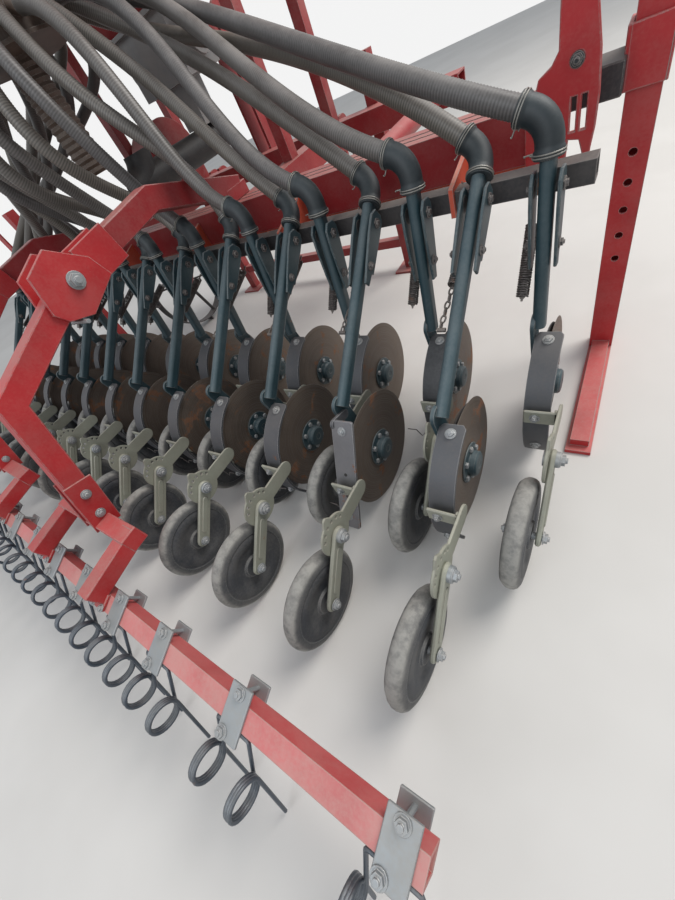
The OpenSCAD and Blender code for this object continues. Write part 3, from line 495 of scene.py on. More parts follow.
zinc = coated("galvanised steel", (0.33, 0.36, 0.38), edge=0.25, bare=(0.5, 0.5, 0.5), rust=0.10, dust_top=0.25,
              dust=0.25, dust_colour=(0.36, 0.33, 0.29), rough=0.42, metal=0.5, rust_scale=30.0)
disc_steel = coated("rusty disc steel", (0.12, 0.088, 0.070), (0.16, 0.15, 0.13), 0.2, edge=0.5,
                    bare=(0.30, 0.28, 0.25), rust=0.42, dust_top=0.1, dust=0.35, dust_colour=(0.21, 0.16, 0.12),
                    rough=0.48, metal=0.35, rust_scale=10.0, width=0.0025)
tine_steel = coated("blued spring steel", (0.055, 0.075, 0.105), edge=0.35, bare=(0.22, 0.24, 0.27), rust=0.16,
                    dust_top=0.35, dust=0.2, dust_colour=(0.26, 0.26, 0.25), rough=0.36, metal=0.4, rust_scale=30.0)
spring_steel = coated("dark spring steel", (0.030, 0.024, 0.024), edge=0.2, rust=0.30, dust_top=0.3, dust=0.2,
                      dust_colour=(0.13, 0.10, 0.09), metal=0.3, rust_scale=30.0)
chain_steel = coated("chain steel", (0.12, 0.11, 0.105), edge=0.2, rust=0.35, dust_top=0.2, dust=0.2, metal=0.4,
                     rust_scale=40.0)
print("with the metals:", len(bpy.data.materials))

# %% Rubber, plastic, wire and castings
cover_plastic = coated("black plastic", (0.008, 0.009, 0.011), edge=0.0, rust=0.0, dust_top=0.2, dust=0.25,
                       dust_colour=(0.11, 0.095, 0.085), rough=0.5)
tread_rubber = coated("press wheel rubber", (0.030, 0.034, 0.042), (0.09, 0.095, 0.105), 0.3, edge=0.75,
                      bare=(0.17, 0.17, 0.165), rust=0.0, dust_top=0.45, dust=0.35,
                      dust_colour=(0.20, 0.19, 0.175), rough=0.62, width=0.006)
sleeve_rubber = coated("sleeve rubber", (0.008, 0.014, 0.018), (0.03, 0.05, 0.06), 0.3, edge=0.2,
                       bare=(0.08, 0.08, 0.08), rust=0.0, dust_top=0.22, dust_colour=(0.09, 0.10, 0.10), rough=0.5)
wire_steel = coated("wire", (0.30, 0.30, 0.28), edge=0.0, dust_top=0.1, dust=0.2, rough=0.4, metal=0.6)
cast_grey = coated("cast alloy", (0.30, 0.30, 0.30), edge=0.2, bare=(0.5, 0.5, 0.5), rust=0.0, dust_top=0.5,
                   dust=0.25, rough=0.5, metal=0.4)
head_plastic = coated("brown plastic", (0.095, 0.060, 0.042), edge=0.1, rust=0.0, dust=0.2, rough=0.5)
print("finishes:", len(bpy.data.materials))

# %% [markdown]
# ## Light and floor
# Plain soft light: one broad lamp high above the front, a weaker one from behind, and a
# grey world that fills the shadows. What the camera sees behind the drill is white.

# %% World
scene = bpy.context.scene
scene.view_settings.view_transform = "Standard"
world = bpy.data.worlds.new("studio")
scene.world = world
world.use_nodes = True
tree = world.node_tree
tree.nodes.clear()
seen = node(tree, "ShaderNodeBackground", {"Color": (0.90, 0.90, 0.90)})
fill = node(tree, "ShaderNodeBackground", {"Color": (0.78, 0.84, 0.92), "Strength": 0.55})
ray = tree.nodes.new("ShaderNodeLightPath").outputs
direct = maths(tree, "MAXIMUM", ray["Is Camera Ray"], ray["Is Transmission Ray"])
either = maths(tree, "MAXIMUM", direct, times(tree, ray["Is Glossy Ray"], 0.6))
mixer = node(tree, "ShaderNodeMixShader", {0: either, 1: fill.outputs[0], 2: seen.outputs[0]})
wire(tree, (mixer.outputs[0], tree.nodes.new("ShaderNodeOutputWorld").inputs[0]))
print("world:", world.name)


# %% Lamps
def lamp(name, place, target, power, size, colour):
    data = bpy.data.lights.new(name, "AREA")
    data.energy = power
    data.size = size
    data.color = colour
    obj = linked(name, data)
    obj.location = place
    obj.rotation_euler = (Vector(target) - Vector(place)).to_track_quat("-Z", "Y").to_euler()


lamp("key", (3.2, 2.6, 4.6), (0.3, -0.2, 0.3), 270, 3.0, (1.0, 0.97, 0.93))
lamp("rear", (1.0, -4.2, 3.4), (0.0, -0.3, 0.4), 90, 3.5, (0.92, 0.96, 1.0))
print("lamps:", len(bpy.data.lights))

# %% Floor
FLOOR = 9  # metres from the middle to each side
floor_material, tree, shader = shaded("pale floor")
shader["Roughness"].default_value = 0.9
clouds = ramp(tree, noise(tree, object_place(tree), 1.4, 4, 0.6), 0.35, 0.65)
wire(tree, (blend_colours(tree, clouds, (0.60, 0.58, 0.55), (0.64, 0.62, 0.59)), shader["Base Color"]))
mesh = bpy.data.meshes.new("floor")
corners = [(-FLOOR, -FLOOR, 0), (FLOOR, -FLOOR, 0), (FLOOR, FLOOR, 0), (-FLOOR, FLOOR, 0)]
mesh.from_pydata(corners, [], [(0, 1, 2, 3)])
mesh.materials.append(floor_material)
linked("floor", mesh)
print("floor:", 2 * FLOOR, "m wide")

# %% [markdown]
# ## Seed hoses
# Each coulter is fed by one ribbed hose, about 38 mm thick, which runs from an outlet of
# the distributor head to a rubber elbow on the coulter's arm. Hoses are cords here: they
# keep the routes of the model's own solids. The ribs follow the path, so Geometry Nodes
# make them: the path is resampled at half a rib's pitch, and every other ring is narrower.

# %% The routes of the hoses, as in the model
HEAD = np.array([0.0, 430.0, 1290.0])
OUTLET_TURN = 180 / HALF
TILT = math.radians(18.5)
ARM_FOOT = (-38.0, 372.5)  # the arm's lower end, from its unit's zero
SPOUT = 62.0  # from the pivot up to the sleeve
ELBOW_BEND = 55.0
OUTLET_R, OUTLET_LENGTH = 178.0, 40.0
HOSE_STEPS = 64
STEP_ASIDE = PITCH / 3  # an arm this near to a harrow arm leans its hose another way


def arm_foot(k):
    return np.array([unit_x(k), unit_y(k) + ARM_FOOT[0], ARM_FOOT[1]])


def arm_pivot(k):
    return np.array([unit_x(k), *PIVOT])


def arm_dir(k):
    return unit(arm_pivot(k) - arm_foot(k))


def arm_top(k):
    return arm_pivot(k) + arm_dir(k) * SPOUT


def hose_dir(k):
    away = abs(unit_x(k))
    if abs(away - HARROW_X - PITCH) < STEP_ASIDE:
        lean = 0.224
    elif abs(away - HARROW_X) < STEP_ASIDE:
        lean = 0.795
    else:
        lean = (1.432 if is_front(k) else 0.646) * min(1, away / 500)
    return unit([-side_of(k) * lean, 0.138, 0.611 if is_front(k) else 0.524])


def elbow_point(k, share):
    a, b = arm_dir(k), hose_dir(k)
    t = math.acos(a @ b) * share
    n = unit(b - a * (a @ b))
    return arm_top(k) + n * ELBOW_BEND * (1 - math.cos(t)) + a * ELBOW_BEND * math.sin(t)


def outlet_level(k):
    turn = -OUTLET_TURN * (k + 0.5) if side_of(k) > 0 else OUTLET_TURN * (COULTERS - k - 0.5)
    return np.array([*around(90 + turn), 0])


def outlet_dir(k):
    return outlet_level(k) * math.cos(TILT) - np.array([0, 0, math.sin(TILT)])


def hose_points(k, steps):
    """A cubic curve from the elbow's mouth to the outlet's."""
    a = elbow_point(k, 1)
    d = HEAD + outlet_level(k) * OUTLET_R + outlet_dir(k) * OUTLET_LENGTH
    reach = np.linalg.norm(d - a)
    place = k if k < HALF else COULTERS - 1 - k
    rise = np.array([0, 0, (165 if is_front(k) else -74) - 20.6 * place])
    b = a + hose_dir(k) * (30 + reach * (0.276 if is_front(k) else 0.344))
    c = d + outlet_dir(k) * (177 + reach * 0.127) + rise
    t = (np.arange(steps + 1) / steps)[:, None]
    s = 1 - t
    return s**3 * a + 3 * s * s * t * b + 3 * s * t * t * c + t**3 * d


print("first hose's mouth:", hose_points(0, 1)[0].round(1))

# %% A material for the hoses, with painted shade between the ribs, by a rib value that each mesh carries
hose_material, tree, shader = shaded("ribbed hose")
rib, tint = (node(tree, "ShaderNodeAttribute", attribute_name=name).outputs["Fac"] for name in ("rib", "tint"))
clouds = ramp(tree, noise(tree, object_place(tree), 5.0, 5, 0.6), 0.3, 0.7)
grey = blend_colours(tree, clouds, (0.062, 0.060, 0.064), (0.098, 0.096, 0.100))
pale = blend_colours(tree, tint, grey, (0.20, 0.175, 0.14))
# Painted shade: the narrow rings between the ribs are blended most of the way to near black.
groove_shade = blend_colours(tree, 0.78, pale, (0.018, 0.015, 0.014))
dusty = dusted(tree, blend_colours(tree, rib, groove_shade, pale), (0.27, 0.25, 0.235), 0.45, 0.12)
wire(tree, (dusty["Colour"], shader["Base Color"]),
     (ramp(tree, dusty["Mask"], 0.0, 1.0, 0.42, 0.8), shader["Roughness"]))
print("hose material:", len(tree.nodes), "nodes")


# %% Helpers for Geometry Nodes
def node_tree(name, inputs):
    tree = bpy.data.node_groups.new(name, "GeometryNodeTree")
    tree.is_modifier = True
    for way in ("INPUT", "OUTPUT"):
        tree.interface.new_socket("Geometry", in_out=way, socket_type="NodeSocketGeometry")
    add_inputs(tree, inputs)
    return tree, tree.nodes.new("NodeGroupInput").outputs


def deliver(tree, geometry, material):
    """The end of every tree: instances made real, a material set."""
    real = node(tree, "GeometryNodeRealizeInstances", {"Geometry": geometry}).outputs["Geometry"]
    painted = node(tree, "GeometryNodeSetMaterial", {"Geometry": real, "Material": material}).outputs["Geometry"]
    node(tree, "NodeGroupOutput", {"Geometry": painted})


def grown(name, source, tree, settings):
    """Runs a Geometry Nodes tree on an object and gives back the result as a plain mesh object."""
    modifier = source.modifiers.new("grow", "NODES")
    modifier.node_group = tree
    names = {item.name: item.identifier for item in tree.interface.items_tree if item.in_out == "INPUT"}
    for label, value in settings.items():
        modifier[names[label]] = value
    source.update_tag()
    evaluated = source.evaluated_get(bpy.context.evaluated_depsgraph_get())
    obj = linked(name, bpy.data.meshes.new_from_object(evaluated))
    source.modifiers.clear()
    bpy.data.objects.remove(source)
    return obj


def line_object(path):
    """A curve object in metres of the model's frame, straight between its points."""
    curve = bpy.data.curves.new("route", "CURVE")
    curve.dimensions = "3D"
    spline = curve.splines.new("POLY")
    spline.points.add(len(path) - 1)
    for point, p in zip(spline.points, path):
        point.co = (*to_frame(p), 1)
    return linked("route", curve)


# %% The hose tree: narrow and wide rings in turn along the path
ribbed, given = node_tree("ribbed hose", {
    "Radius": 0.019, "Rib depth": 0.0012, "Rib pitch": 0.006, "Sides": 14, "Material": None})
tree = ribbed
half_rib = maths(tree, "DIVIDE", given["Rib pitch"], 2.0)
rings = node(tree, "GeometryNodeResampleCurve", {"Curve": given["Geometry"], "Length": half_rib}, mode="LENGTH")
odd = maths(tree, "MODULO", tree.nodes.new("GeometryNodeInputIndex").outputs[0], 2.0)
depth = times(tree, maths(tree, "SUBTRACT", 1.0, odd), given["Rib depth"])
sized = node(tree, "GeometryNodeSetCurveRadius", {
    "Curve": rings.outputs["Curve"], "Radius": maths(tree, "SUBTRACT", given["Radius"], depth)}).outputs["Curve"]
marked = node(tree, "GeometryNodeStoreNamedAttribute", {"Geometry": sized, "Name": "rib", "Value": odd},
              data_type="FLOAT", domain="POINT").outputs["Geometry"]
profile = node(tree, "GeometryNodeCurvePrimitiveCircle", {"Radius": 1.0, "Resolution": given["Sides"]})
skin = node(tree, "GeometryNodeCurveToMesh", {
    "Curve": marked, "Profile Curve": profile.outputs["Curve"], "Fill Caps": True,
    "Scale": tree.nodes.new("GeometryNodeInputRadius").outputs[0]})
deliver(tree, skin.outputs["Mesh"], given["Material"])
print("tree:", ribbed.name, len(tree.nodes), "nodes")

# %% The hoses as cords
TINTS = ((0.15, 0.75, 0.35, 0.6), (0.55, 0.2, 0.7, 0.3))  # how pale each hose is, right and left
for k in range(COULTERS):
    path = hose_points(k, HOSE_STEPS)
    hose = grown(f"hose_{k + 1:02d}", line_object(path), ribbed, {"Radius": 0.0192, "Material": hose_material})
    tints = hose.data.attributes.new("tint", "FLOAT", "POINT")
    tints.data.foreach_set("value", [TINTS[k // HALF][k % 4]] * len(hose.data.vertices))
    finish_mesh(hose, hose_material, "frame", "seed_hoses", 60)
print("hoses:", COULTERS)

# %% [markdown]
# ## Finishes on the model's own solids
# Most tubes, plates and housings have the right shape already. They stay as they are and
# only get a weathered finish, put into the material slots that their meshes carry.

# %% Finishes of the carried nodes
carried = {
    red: "main_beam front_frame side_plates headstock hopper harrow_mounts stand_front",
    arm_red: "harrow_arms stand_left stand_right", harrow_red: "harrow_bar", lid_red: "hopper_lid",
    black_red: "fan_housing hopper_frame drive_arm", orange: "bar_brackets",
    teal: "arm_brackets coulter_arms_front coulter_arms_rear", dark: "coulter_bar drive_wheel",
    strap_steel: "straps_front straps_rear", cream: "press_arms_front press_arms_rear",
    spring_steel: "springs", sleeve_rubber: "elbows", head_plastic: "distributor", cover_plastic: "air_duct",
    cast_grey: "metering_unit fan_rotor", zinc: "harrow_clamps", tine_steel: "harrow_tines",
    disc_steel: "disc_row_front disc_row_rear",
}
for finish, names in carried.items():
    for name in names.split():
        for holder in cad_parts[name].material_slots:
            holder.material = finish
    print(f"{finish.name}: {names}")

# %% [markdown]
# ## Bands and rings
# Rubber is pale and dusty where it rolls and dark on its flanks, and a disc carries fine
# scratches round its axle. Both follow a value that the mesh stores at each point, so the
# finish only has to read it.


# %% Finishes that follow a stored value
def banded(name, source, attribute, colour, strength=1.0, rings=0.0):
    """A copy of a finish, blended to a colour where the stored value is high, or in fine rings of it."""
    material = source.copy()
    material.name = name
    tree = material.node_tree
    target = tree.nodes["Principled BSDF"].inputs["Base Color"]
    base = target.links[0].from_socket
    stored = node(tree, "ShaderNodeAttribute", attribute_name=attribute).outputs["Fac"]
    if rings:
        spot = node(tree, "ShaderNodeCombineXYZ", {0: stored}).outputs[0]
        value = ramp(tree, noise(tree, spot, rings, 3, 0.7), 0.46, 0.62, 0.0, strength)
    else:
        patchy = ramp(tree, noise(tree, object_place(tree), 45.0, 5, 0.65), 0.30, 0.62, 0.35, strength)
        value = times(tree, stored, patchy)
    wire(tree, (blend_colours(tree, value, base, colour), target))
    return material


def store(obj, attribute, value_of):
    """Stores a number at each point of a piece, from its place in millimetres."""
    values = [value_of(p.co * 1000 + Vector((0, ORIGIN_Y, 0))) for p in obj.data.vertices]
    obj.data.attributes.new(attribute, "FLOAT", "POINT").data.foreach_set("value", values)


tyre_rubber = banded("press wheel tyre", tread_rubber, "tread", (0.30, 0.29, 0.265))
disc_face = banded("scratched disc", disc_steel, "ring", (0.27, 0.25, 0.22), 0.55, rings=420.0)
print("finishes:", len(bpy.data.materials))

# %% [markdown]
# ## Press wheels
# Each wheel is a moulded rubber tyre on a narrow hub. Its section is one closed outline,
# turned once round the axle: a dished web, a step to the shoulder, a domed tread that leans
# to one side, and a hollow behind the rim. Twenty-four wheels turn by themselves, so
# each is a piece of its own on its own body.

# %% The press wheels
WHEEL_SECTION = [
    (8.1, -22), (26, -22), (30, -14), (58, -10), (64, -17), (100, -20), (112, -17.5), (119, -11), (122.5, -4),
    (123, 3), (121.5, 10), (117, 16), (110, 19.5), (98, 21), (96, 19.5), (92, 19.5), (90, 21), (66, 20),
    (62, 17), (34, 17), (30, 22), (8.1, 22),
]
WHEEL_ASIDE, TREAD_FROM, TREAD_FULL = 42.0, 108.0, 116.0
wheel_part = lathe(WHEEL_SECTION, 60)
for k in range(COULTERS):
    y, z = PRESS_AXLE + (unit_y(k), 0)
    wheel = piece(f"press_tyre_{k + 1:02d}", Form().put(wheel_part, shift(unit_x(k) + WHEEL_ASIDE, y, z)), tyre_rubber,
                  f"press_{k + 1:02d}", f"press_wheel_{k + 1:02d}", "tread_rubber", 40)
    span = TREAD_FULL - TREAD_FROM
    store(wheel, "tread", lambda p: min(1, max(0, (math.hypot(p.y - y, p.z - z) - TREAD_FROM) / span)))

# %% [markdown]
# ## Discs
# The cutting disc is thin and ground sharp at its rim. A teal flange with six bolt heads
# holds it to the hub, whose cap faces out. The black disc beside it is smooth.

# %% Cutting discs, closing discs and hubs
AXLE_R = 10.1
DISC_SECTION = [
    (AXLE_R, 20.1), (60, 20.1), (100, 20.1), (148, 20.1), (162.3, 21.7), (162.3, 22.3), (148, 23.9), (100, 23.9),
    (60, 23.9), (AXLE_R, 23.9),
]
HUB_SECTION = [
    (AXLE_R, 24.0), (50, 24.0), (52, 25.5), (51, 28), (34, 29.5), (32, 31), (31.5, 44), (27, 48.5), (20, 49.8),
    (AXLE_R, 49.8),
]
COVER_SECTION = [(AXLE_R, 8), (146, 8), (148, 9.5), (148, 11.5), (146, 13), (34, 13), (32, 20), (AXLE_R, 20)]
HEAD_SECTION = [(0.1, 27), (8, 27), (8, 33), (6.5, 34.5), (0.1, 34.5)]
HEAD_CIRCLE, HEAD_TURN = 41, 17
parts = [lathe(DISC_SECTION, 72), lathe(HUB_SECTION, 36), lathe(COVER_SECTION, 60)]
bolt_head = lathe(HEAD_SECTION, 6)
for row, first in ROWS:
    blades, hubs, covers, heads = Form(), Form(), Form(), Form()
    for k in range(first, COULTERS, 2):
        place = shift(unit_x(k), unit_y(k), DISC_Z)
        for form, part in zip((blades, hubs, covers), parts):
            form.put(part, place)
        for y, z in circle(HEAD_CIRCLE, 6, start=HEAD_TURN):
            heads.put(bolt_head, place @ shift(0, y, z))
    discs = (f"{row}_discs", f"disc_row_{row}")
    blade = piece(f"cutting_discs_{row}", blades, disc_face, *discs, "disc_steel")
    axle_y = unit_y(first)
    store(blade, "ring", lambda p: math.hypot(p.y - axle_y, p.z - DISC_Z) / 1000)
    piece(f"disc_hubs_{row}", hubs, teal, *discs, "teal_paint")
    piece(f"closing_discs_{row}", covers, cover_plastic, *discs, "duct_plastic")
    piece(f"hub_bolts_{row}", heads, zinc, *discs, "zinc")

# %% [markdown]
# ## What repeats: bolts, springs and chains
# A drill is held together by hundreds of bolts. One tree puts a washer, a six-sided head
# and a stud on every point it is given, turned along an arrow stored at that point. The
# same idea sets a coiled spring on each arm.


# %% Points that carry an arrow and a size
def point_cloud(name, spots):
    """An object with one point per spot, (place in mm, arrow, size)."""
    mesh = bpy.data.meshes.new(name)
    mesh.from_pydata([to_frame(place) for place, aim, size in spots], [], [])
    aims = mesh.attributes.new("aim", "FLOAT_VECTOR", "POINT")
    aims.data.foreach_set("vector", [c for place, aim, size in spots for c in unit(aim)])
    mesh.attributes.new("size", "FLOAT", "POINT").data.foreach_set("value", [float(s[2]) for s in spots])
    return linked(name, mesh)


def cylinder_node(tree, sides, radius, depth, low):
    """A cylinder along z whose foot stands at height low."""
    solid = node(tree, "GeometryNodeMeshCylinder", {"Vertices": sides, "Radius": radius, "Depth": depth})
    spot = node(tree, "ShaderNodeCombineXYZ", {2: maths(tree, "ADD", times(tree, depth, 0.5), low)}).outputs[0]
    return node(tree, "GeometryNodeTransform", {
        "Geometry": solid.outputs["Mesh"], "Translation": spot}).outputs["Geometry"]


def deliver_on_points(tree, points, shape, material):
    """Sets a shape on every point, along its aim, at its size, and makes it real."""
    aim, size = (node(tree, "GeometryNodeInputNamedAttribute", {"Name": name}, data_type=kind).outputs["Attribute"]
                 for name, kind in (("aim", "FLOAT_VECTOR"), ("size", "FLOAT")))
    turn = node(tree, "FunctionNodeAlignRotationToVector", {"Vector": aim}, axis="Z").outputs["Rotation"]
    copies = node(tree, "GeometryNodeInstanceOnPoints", {
        "Points": points, "Instance": shape, "Rotation": turn, "Scale": size}).outputs["Instances"]
    deliver(tree, copies, material)


# %% The bolt tree
UNDER_HEAD = 0.0012
bolt_tree, given = node_tree("bolts", {
    "Head radius": 0.0085, "Head height": 0.006, "Washer radius": 0.0115, "Stud radius": 0.0045, "Material": None})
tree = bolt_tree
height = given["Head height"]
joined = tree.nodes.new("GeometryNodeJoinGeometry")
for sides, radius, depth, low in (
    (16, given["Washer radius"], times(tree, height, 0.3), 0.0), (6, given["Head radius"], height, UNDER_HEAD),
    (8, given["Stud radius"], times(tree, height, 1.5), UNDER_HEAD),
):
    wire(tree, (cylinder_node(tree, sides, radius, depth, low), joined.inputs["Geometry"]))
deliver_on_points(tree, given["Geometry"], joined.outputs["Geometry"], given["Material"])


def bolts(name, spots, material, body, node, slot):
    finish_mesh(grown(name, point_cloud(name, spots), bolt_tree, {"Material": material}), material, body, node)
    print(f"{name}: {len(spots)}")


# %% The spring tree: a tight coil along z, instanced on each point
spring_tree, given = node_tree("springs", {
    "Coil radius": 0.0112, "Wire radius": 0.0021, "Length": 0.14, "Turns": 30.0, "Material": None})
tree = spring_tree
coil = node(tree, "GeometryNodeCurveSpiral", {
    "Resolution": 12, "Start Radius": given["Coil radius"], "End Radius": given["Coil radius"],
    "Height": given["Length"], "Rotations": given["Turns"]}).outputs["Curve"]
section = node(tree, "GeometryNodeCurvePrimitiveCircle", {
    "Resolution": 4, "Radius": given["Wire radius"]}).outputs["Curve"]
skin = node(tree, "GeometryNodeCurveToMesh", {"Curve": coil, "Profile Curve": section, "Fill Caps": True})
deliver_on_points(tree, given["Geometry"], skin.outputs["Mesh"], given["Material"])
print("trees:", bolt_tree.name, spring_tree.name)

# %% [markdown]
# ## Springs and chains on the coulter arms
# Every coulter hangs on an extension spring that pulls on a few chain links. Coil and
# links follow the same line as the plain solid in the model.

# %% Springs with their hooks and chains
SPRING_HIGH = np.array([360.0, 570.0])
SPRING_ASIDE, SPRING_AT, LINK_PITCH = 32.0, 0.42, 17.0
COIL_START, HOOK_START = 160.0, 166.0  # back from the spring's upper end
coils, chain, eyes = [], Form(), Form()
for k in range(COULTERS):
    foot = arm_foot(k)[1:]
    low = foot + (PIVOT - foot) * SPRING_AT
    reach = np.linalg.norm(SPRING_HIGH - low)
    way = (SPRING_HIGH - low) / reach
    start = np.array([unit_x(k) - SPRING_ASIDE, *low])
    d = np.array([0, *way])
    across = np.array([0, way[1], -way[0]])
    coils.append((start + d * (reach - COIL_START), d, 1.0))
    free = reach - HOOK_START
    count = max(2, int(round(free / LINK_PITCH)))
    for i in range(count):
        middle = start + d * ((i + 0.5) * free / count)
        side = np.array([1.0, 0, 0]) if i % 2 else across
        loop = [middle + d * (9.6 * math.cos(a)) + side * (5.2 * math.sin(a)) for a in np.arange(12) * math.pi / 6]
        chain.put(tube(loop, 2.1, 5, closed=True))
    top = start + d * (reach - 20)
    eyes.put(tube([top, top + d * 6 + across * 3, top + d * 21], 2.6, 6))
    eyes.put(tube([start + d * a for a in (free - 3, free + 6, reach - COIL_START + 2)], 2.4, 6))
    eyes.put(tube([start - [6, 0, 0], start + [12, 0, 0]], 4.6, 8))
springs = grown("coil_springs", point_cloud("coil_springs", coils), spring_tree, {"Material": spring_steel})
finish_mesh(springs, spring_steel, "frame", "springs", 60)
piece("chains", chain, chain_steel, "frame", "springs", "spring_steel", 60)
piece("spring_hooks", eyes, chain_steel, "frame", "springs", "spring_steel", 50)

# %% [markdown]
# ## Straps
# A flat strap of spring steel bends round the back of every disc. It is one sheet rolled
# to an arc, with rounded corners at its ends and a bolt near each. The fourth one from the
# side has been replaced by a straight galvanised plate.


# %% Straps
STRAP_LOW, STRAP_HIGH, STRAP_STEPS = 101.0, 212.0, 40
STRAP_SIDES, STRAP_CORNER = (-5.7, 50.3), 7.0
STRAP_MID_R = (STRAP_IN + STRAP_OUT) / 2


def strap_arc(k):
    """The strap as rings of a flat section along the arc; its ends narrow to rounded corners."""
    points = []
    step = (STRAP_HIGH - STRAP_LOW) / STRAP_STEPS
    for i in range(STRAP_STEPS + 1):
        near = min(i, STRAP_STEPS - i) * math.radians(step) * STRAP_MID_R / STRAP_CORNER
        inset = STRAP_CORNER * (1 - math.sqrt(max(0.0, 1 - (1 - min(1, near)) ** 2)))
        left, right = STRAP_SIDES[0] + inset, STRAP_SIDES[1] - inset
        for r, side in ((STRAP_IN, left), (STRAP_IN, right), (STRAP_OUT, right), (STRAP_OUT, left)):
            y, z = (unit_y(k), DISC_Z) + r * around(STRAP_LOW + step * i)
            points.append((unit_x(k) + side, y, z))
    return points, rings_to_faces(STRAP_STEPS + 1, 4)


def strap_spot(k, degrees, side, out=0.0):
    """A place on the strap's outer face, and the way out of it."""
    away = np.array([0, *around(degrees)])
    return np.array([unit_x(k) + side, unit_y(k), DISC_Z]) + away * (STRAP_OUT + out), away


DARK_ONE, STRAIGHT_ONE = 2, 3
for row, first in ROWS:
    grey, black, spots = Form(), Form(), []
    for k in range(first, COULTERS, 2):
        if k == STRAIGHT_ONE:
            continue
        (black if k == DARK_ONE else grey).put(strap_arc(k))
        spots += [(*strap_spot(k, degrees, 22), 1.05) for degrees in (108, 196)]
    piece(f"straps_of_{row}", grey, strap_steel, "frame", f"straps_{row}", "strap_steel", 40)
    if black.faces:
        piece("dark_strap", black, black_strap, "frame", f"straps_{row}", "strap_steel", 40)
    bolts(f"strap_bolts_{row}", spots, zinc, "frame", f"straps_{row}", "zinc")

# %% The straight plate on the fourth coulter
plate_mid = np.array([8.9 - STRAP_OUT, DISC_Z + 44])
lean = np.array([0.5, 0.866])
square = np.array([-lean[1], lean[0]])
PLATE_HALF = 3.5
PLATE_ENDS = ((-113.5, 6.0), (-111.5, 2), (-108, 0), (60, 0), (178, 0), (181.5, 2), (183.5, 6.0))  # along, inset


def on_plate(x, along, out):
    p = plate_mid + lean * along + square * out
    return (unit_x(STRAIGHT_ONE) + x, unit_y(STRAIGHT_ONE) + p[0], p[1])


points = []
for along, inset in PLATE_ENDS:
    left, right = inset - 5.7, 54.3 - inset
    points += [on_plate(x, along, out) for x, out in (
        (left, -PLATE_HALF), (right, -PLATE_HALF), (right, PLATE_HALF), (left, PLATE_HALF))]
plate = Form().put((points, rings_to_faces(len(PLATE_ENDS), 4)))
piece("straight_plate", plate, plate_zinc, "frame", "straps_rear", "strap_steel", 40)
lug_line = stick((-42, 350.5), plate_mid + lean * 180 - [2, 8], 24)
lug = Form().put(cut(lug_line, 8), shift(unit_x(STRAIGHT_ONE) - 1.7, unit_y(STRAIGHT_ONE), 0))
piece("plate_lug", lug, strap_steel, "frame", "straps_rear", "strap_steel", 35)
spots = [(on_plate(24, along, PLATE_HALF), (0, *square), 1.0) for along in (158, -80)]
bolts("plate_bolts", spots, zinc, "frame", "straps_rear", "zinc")
outward = Matrix.Rotation(math.radians(150), 4, "X") @ Matrix.Rotation(math.radians(90), 4, "Z")
# The plate's holes are painted shade: thin black discs on its face stand in for them.
hole_shade = lathe([(0.1, -0.2), (4.5, -0.2), (4.5, 0.5), (0.1, 0.5)], 16)
holes = Form()
for along in (-20, 42):
    holes.put(hole_shade, shift(*on_plate(24, along, PLATE_HALF)) @ outward)
piece("plate_hole_shades", holes, cover_plastic, "frame", "straps_rear", "strap_steel", 35)

# %% [markdown]
# ## Press arms
# A toothless quadrant with a row of holes sets each press wheel's depth. It is cut from
# plate: a half moon round the pivot, with a pointed corner on top, that runs out into the
# tongue which is bolted to the strap. The arm beside it is a pressed channel.

# %% Quadrants, arms, bosses and axles
QUADRANT_X, CHANNEL_X, RIB_X = 69.0, 77.6, 83.4
QUADRANT_R, SEAT_R, CORNER_AT, CORNER_OUT = 52, 23, 92, 19
boss, axle = PRESS_PIVOT, PRESS_AXLE
seat = np.array([8 - STRAP_OUT, DISC_Z + 66])
toward = angle_of(seat - boss)
half = math.degrees(math.asin(SEAT_R / QUADRANT_R))
quadrant = [
    tuple(boss + (QUADRANT_R + CORNER_OUT * max(0.0, 1 - abs(a - CORNER_AT) / 17)) * around(a))
    for a in np.linspace(toward + half, toward + 360 - half, 44)
] + circle(SEAT_R, 10, seat, toward - 90, 180)
depth_holes = [circle(4, 12, boss + 42 * around(a)) for a in range(30, 151, 24)]
quadrant_part = cut(quadrant, 6, holes=depth_holes)
channel_part = cut(stick(boss, axle, 41, 12), 10.8, 3.2)
rib_part = cut(stick(boss + (axle - boss) * 0.22, axle - (axle - boss) * 0.2, 18), 4, 1.5)
boss_part = lathe([(0.1, 60), (17, 60), (17, 90), (15.5, 91.5), (0.1, 91.5)], 24)
axle_part = lathe([(0.1, 17), (8, 17), (8, 89), (0.1, 89)], 12)
foot_y = -math.sqrt(STRAP_OUT**2 - 46**2) - 0.3  # where the foot meets the strap's outer face
tongue = block((-1.7, foot_y - 16, DISC_Z + 46), (67, foot_y - 9, DISC_Z + 86), 2.5)
upstand = block((60, foot_y - 16, DISC_Z + 46), (66.5, foot_y - 2, DISC_Z + 86), 2)
cotter = tube([(97, boss[0] + 11 * s, boss[1] + 4 * s) for s in (-1, 1)], 1.4, 5)
NUTS = (
    ((90.5, *boss), (1, 0, 0), 1.35), ((85, *axle), (1, 0, 0), 1.25), ((14, *axle), (-1, 0, 0), 1.2),
    ((22, foot_y - 16, DISC_Z + 66), (0, -1, 0), 1.0),
)
